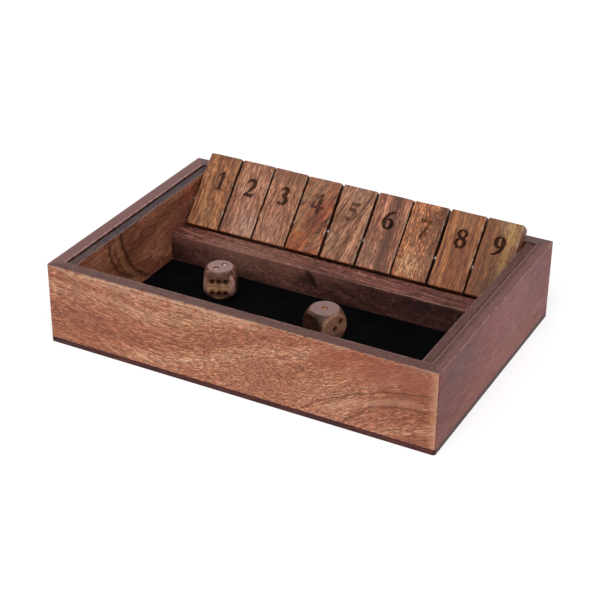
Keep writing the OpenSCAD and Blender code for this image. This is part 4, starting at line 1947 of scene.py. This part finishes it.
def dice() -> None:
    """The two dice as they lie on the felt."""
    along, across, out = Axis
    half = Die.width / 2
    # the pale colour of this die's up-facing spots is a painted glint
    first = Die(1, (-68.2, 1.426, 19.5), 24, (2, 6, 3, 1, 4, 5), glint="#E0CDB0", ball=14.7)
    first.marks = (
        # top flat: mauve-grey, a painted sheen of the light from above
        Mark((0, 0, half), (along, across), 0.35, "#A98682", 0.85, broken=0.2),
        Mark((0, -half, 0), (along, out), 0.4, "#D6A47C", 0.7, broken=0.3),
        Mark((0, -half, -6), (along,), 9, "#44221A", 0.9, broken=0.4),
        Mark((0, -half, 6.5), (along,), 7, "#57321F", 0.8, broken=0.4),
        Mark((0, -half, 1), (along,), 1.6, "#6A4230", 0.6),
        # painted shade on the rounded part under the top
        Mark((0, 2 - half, 8.8), (along,), 3.6, "#4C2E28", 0.85, broken=0.3),
        # painted highlights: pale upright streaks on the rounded corners beside the front
        Mark((10.2, -10.2, 4), (out,), 4.0, "#D8A89C", 0.7),
        Mark((-10.2, -10.2, 4), (out,), 3.0, "#B88E86", 0.6),
    )
    # the pale colour of this die's up-facing spots is a painted glint
    second = Die(2, (24.8, -16.174, 19.5), -24, (1, 2, 3, 5, 4, 6), glint="#C87A3A")
    second.marks = (
        # top flat: mauve-grey, a painted sheen of the light from above
        Mark((0, 0, half), (along, across), 0.35, "#977876", 0.85, broken=0.2),
        Mark((half, 0, 0), (across, out), 3.0, "#AD7E5F", 0.45, broken=0.3),
        # painted shade: the front face, turned from the light, is nearly black
        Mark((0, -half, 0), (along, out), 3.2, "#24140E", 0.75, broken=0.3),
        # painted shade on the upper rounded front corner
        Mark((8.5, -8.5, 8), (), 9, "#4A302A", 0.8, broken=0.3),
        # painted highlight over the right face and its rounded edges
        Mark((half, -8, 4), (across, out), 3.0, "#C09078", 0.3),
        Mark((half, 0, -6), (across,), 5.0, "#3A2018", 0.6, broken=0.4),
    )
    first.build()
    second.build()


# ---- The felt ----


@dataclass
class FeltLining:
    """Sheet of black felt glued to the lining board, with its loose lint.

    Attributes:
        length: Length of the sheet.
        width: Width of the sheet.
        middle: Place of its middle from front to back.
        top: Height of its face.
        thick: Its thickness.
    """

    length: float = 255.4
    width: float = 121.3
    middle: float = -29.574
    top: float = 8.0
    thick: float = 1.2

    def sheet(self) -> Object:
        """Make the felt itself, pressed in a little along its edges.

        Returns:
            The felt, from its underside to its face.
        """
        half = np.array([self.length / 2, self.width / 2])
        xs = np.linspace(-half[0], half[0], 128)
        ys = np.linspace(-half[1], half[1], 62)
        points, sides = box_grid(xs, ys, np.array([self.top - self.thick, self.top]))
        upper = points[:, 2] > self.top - 0.1
        edge = np.minimum(half[0] - np.abs(points[:, 0]), half[1] - np.abs(points[:, 1]))
        drop = 0.05 + 0.35 * np.exp(-edge / 1.4) + 0.05 * (1 + unevenness(points, 6.0, 71))
        points[upper, 2] -= drop[upper]
        points[:, 1] += self.middle
        return mesh_object("felt_sheet", points, np.concatenate(list(sides.values())))

    def lint_tree(self, finish: Material) -> GeometryNodeTree:
        """Strew short bent fibres over a sheet.

        Args:
            finish: Material of the fibres.

        Returns:
            The node tree.
        """
        kinds = dict.fromkeys(("Fibre Length", "Fibre Radius", "Density"), "Float")
        tree, given = geometry_tree("strew_lint", {"Ground": "Geometry", **kinds, "Seed": "Int"})
        ground, length, radius, density, seed = given[:5]
        falling = {"Mesh": ground, "Density": density, "Seed": seed}
        spread = add_node(tree, "GeometryNodeDistributePointsOnFaces", falling)
        end = add_node(tree, "ShaderNodeCombineXYZ", {0: length})
        half = add_node(tree, Kind.MATH, {0: length, 1: 0.55}, operation="MULTIPLY")
        aside = add_node(tree, Kind.MATH, {0: length, 1: 0.35}, operation="MULTIPLY")
        bend = add_node(tree, "ShaderNodeCombineXYZ", {0: half, 1: aside})
        path = {"Resolution": 3, "Start": (0, 0, 0), "Middle": bend, "End": end}
        hair = add_node(tree, "GeometryNodeCurveQuadraticBezier", path)
        ring = add_node(tree, "GeometryNodeCurvePrimitiveCircle", {"Resolution": 3, "Radius": radius})
        tube = {"Curve": hair, "Profile Curve": ring, "Fill Caps": True}
        fibre = add_node(tree, "GeometryNodeCurveToMesh", tube)
        angles = {0: (0.0, 0.0, 0.0), 1: (0.0, 0.0, 6.283), "Seed": seed}
        turn = add_node(tree, "FunctionNodeRandomValue", angles, data_type="FLOAT_VECTOR")
        scales = {2: 0.5, 3: 1.3, "Seed": seed}
        size = add_node(tree, "FunctionNodeRandomValue", scales, out=1, data_type="FLOAT")
        lying = {"Points": spread, "Instance": fibre, "Rotation": turn, "Scale": size}
        end_tree(tree, add_node(tree, "GeometryNodeInstanceOnPoints", lying), finish)
        return tree

    def lint(self) -> Object:
        """Strew the short fibres that lie loose on the felt.

        Returns:
            All the fibres as one object.
        """
        x, y, z = self.length / 2 - 2, self.width / 2 - 2, self.top - 0.1
        corners = [(sx * x, sy * y + self.middle, z) for sx, sy in ((-1, -1), (1, -1), (1, 1), (-1, 1))]
        ground = mesh_object("lint_ground", np.array(corners), [(0, 1, 2, 3)])
        finish = FeltFinish("felt_lint_wool", dark="#101014", light="#222228").material()
        sizes = {"Fibre Length": 1.6 * MM, "Fibre Radius": 0.035 * MM, "Density": 60000.0, "Seed": 5}
        return grown("felt_lint", ground, self.lint_tree(finish), sizes)

    def build(self) -> None:
        """Lay the felt and its lint in the tray."""
        sheet, lint = self.sheet(), self.lint()
        sheet.data.materials.append(FeltFinish("black_wool_felt").material())
        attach(sheet, "box")
        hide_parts("felt_lining")
        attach(lint, "box")
        log.info("felt has %d faces, its lint %d", len(sheet.data.polygons), len(lint.data.polygons))


# ---- The studio ----


@dataclass
class Studio:
    """Camera, soft daylight and a pale floor.

    Attributes:
        azimuth: Camera's turn round the box in degrees.
        elevation: Camera's height in degrees.
        roll: Camera's roll in degrees.
        distance: Distance of the camera in box lengths.
        aside: How far the box's foot is off the camera's axis, in box lengths.
        lens: Focal length in millimetres on a 36 mm frame.
        unit: The box's length in metres.
        key: Strength of the main light.
        sky: Strength of the light from all round.
    """

    azimuth: float = 27.5
    elevation: float = 29.5
    roll: float = 0.72
    distance: float = 3.9065
    aside: Pair = (0.008, -0.0674)
    lens: float = 96.1
    unit: float = 290 * MM
    key: float = 2.0
    sky: float = 0.36

    def camera(self) -> None:
        """Set the camera."""
        a, e, r = (math.radians(x) for x in (self.azimuth, self.elevation, self.roll))
        back = np.array([math.sin(a) * math.cos(e), -math.cos(a) * math.cos(e), math.sin(e)])
        right = np.array([math.cos(a), math.sin(a), 0.0])
        up = np.cross(back, right)
        right, up = right * math.cos(r) + up * math.sin(r), up * math.cos(r) - right * math.sin(r)
        rows = np.array([right, up, back])
        place = rows.T @ -np.array([*self.aside, -self.distance]) * self.unit
        data = bpy.data.cameras.new("studio_camera")
        data.lens, data.sensor_width = self.lens, 36.0
        data.clip_start, data.clip_end = 0.05, 20.0
        seen = bpy.data.objects.new("studio_camera", data)
        pose = Matrix(rows.T.tolist()).to_4x4()
        pose.translation = Vector(place)
        seen.matrix_world = pose
        bpy.context.scene.collection.objects.link(seen)
        bpy.context.scene.camera = seen

    def sun(self, name: str, azimuth: float, elevation: float, strength: float, spread: float) -> None:
        """Add one broad far light.

        Args:
            name: Name of the lamp.
            azimuth: Where it stands, in degrees to the right of the front.
            elevation: Its height in degrees.
            strength: Its strength.
            spread: Its apparent width in degrees.
        """
        data = bpy.data.lights.new(name, "SUN")
        data.energy, data.angle = strength, math.radians(spread)
        lamp = bpy.data.objects.new(name, data)
        a, e = math.radians(azimuth), math.radians(elevation)
        way = Vector((math.sin(a) * math.cos(e), -math.cos(a) * math.cos(e), math.sin(e)))
        lamp.rotation_euler = way.to_track_quat("Z", "Y").to_euler()
        bpy.context.scene.collection.objects.link(lamp)

    def seen_white(self, tree: Tree) -> Socket:
        """Tell the rays that show the background, to the camera, in gloss and in glass.

        Args:
            tree: Node tree of the floor or the sky.

        Returns:
            One for such a ray, and zero for the rest.
        """
        path = add_node(tree, "ShaderNodeLightPath").node.outputs
        both = {0: path["Is Camera Ray"], 1: path["Is Glossy Ray"]}
        gloss = add_node(tree, Kind.MATH, both, operation="MAXIMUM")
        both = {0: gloss, 1: path["Is Transmission Ray"]}
        return add_node(tree, Kind.MATH, both, operation="MAXIMUM")

    def sky_light(self) -> None:
        """White all round to the eye, and a lower even light on the object."""
        world = bpy.data.worlds.new("studio_sky")
        world.use_nodes = True
        tree = world.node_tree
        tree.nodes.clear()
        strength = add_node(tree, Kind.RANGE, {0: self.seen_white(tree), 3: self.sky, 4: 1.0})
        white = {"Color": linear("#FFFFFF"), "Strength": strength}
        shade = add_node(tree, "ShaderNodeBackground", white)
        add_node(tree, "ShaderNodeOutputWorld", {0: shade})
        bpy.context.scene.world = world

    def floor(self) -> None:
        """Plain pale floor that keeps a soft shadow."""
        far, low = 4000, -0.05  # millimetres
        corners = np.array([(-far, -far, low), (far, -far, low), (far, far, low), (-far, far, low)])
        made = mesh_object("studio_floor", corners, [(0, 1, 2, 3)])
        finish, tree = blank_material("pale_floor_paper")
        paper = add_node(tree, "ShaderNodeBsdfDiffuse", {"Color": linear("#E8E8E8")})
        soft = add_node(tree, "ShaderNodeBsdfDiffuse", {"Color": linear("#BEBEBE")})
        glow = add_node(tree, "ShaderNodeEmission", {"Color": linear("#FFFFFF"), "Strength": 0.62})
        lit = add_node(tree, "ShaderNodeAddShader", {0: soft, 1: glow})
        both = add_node(tree, "ShaderNodeMixShader", {0: self.seen_white(tree), 1: paper, 2: lit})
        add_node(tree, "ShaderNodeOutputMaterial", {0: both})
        made.data.materials.append(finish)

    def build(self) -> None:
        """Set the whole studio."""
        self.camera()
        self.sun("key_softbox", 14, 50, self.key, 50)
        self.sky_light()
        self.floor()
        bpy.context.scene.view_settings.view_transform = "Standard"


def main() -> None:
    """Dress the model, make its pieces and light it."""
    logging.basicConfig(level=logging.INFO, format="%(name)s: %(message)s")
    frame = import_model()
    Studio().build()
    box = Carcase()
    box.dress(frame["nodes"])
    pins = BasePins(box=box).build()
    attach(pins, "box")
    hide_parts("base_pins")
    FeltLining().build()
    TileRow().build()
    dice()


if __name__ == "__main__":
    main()
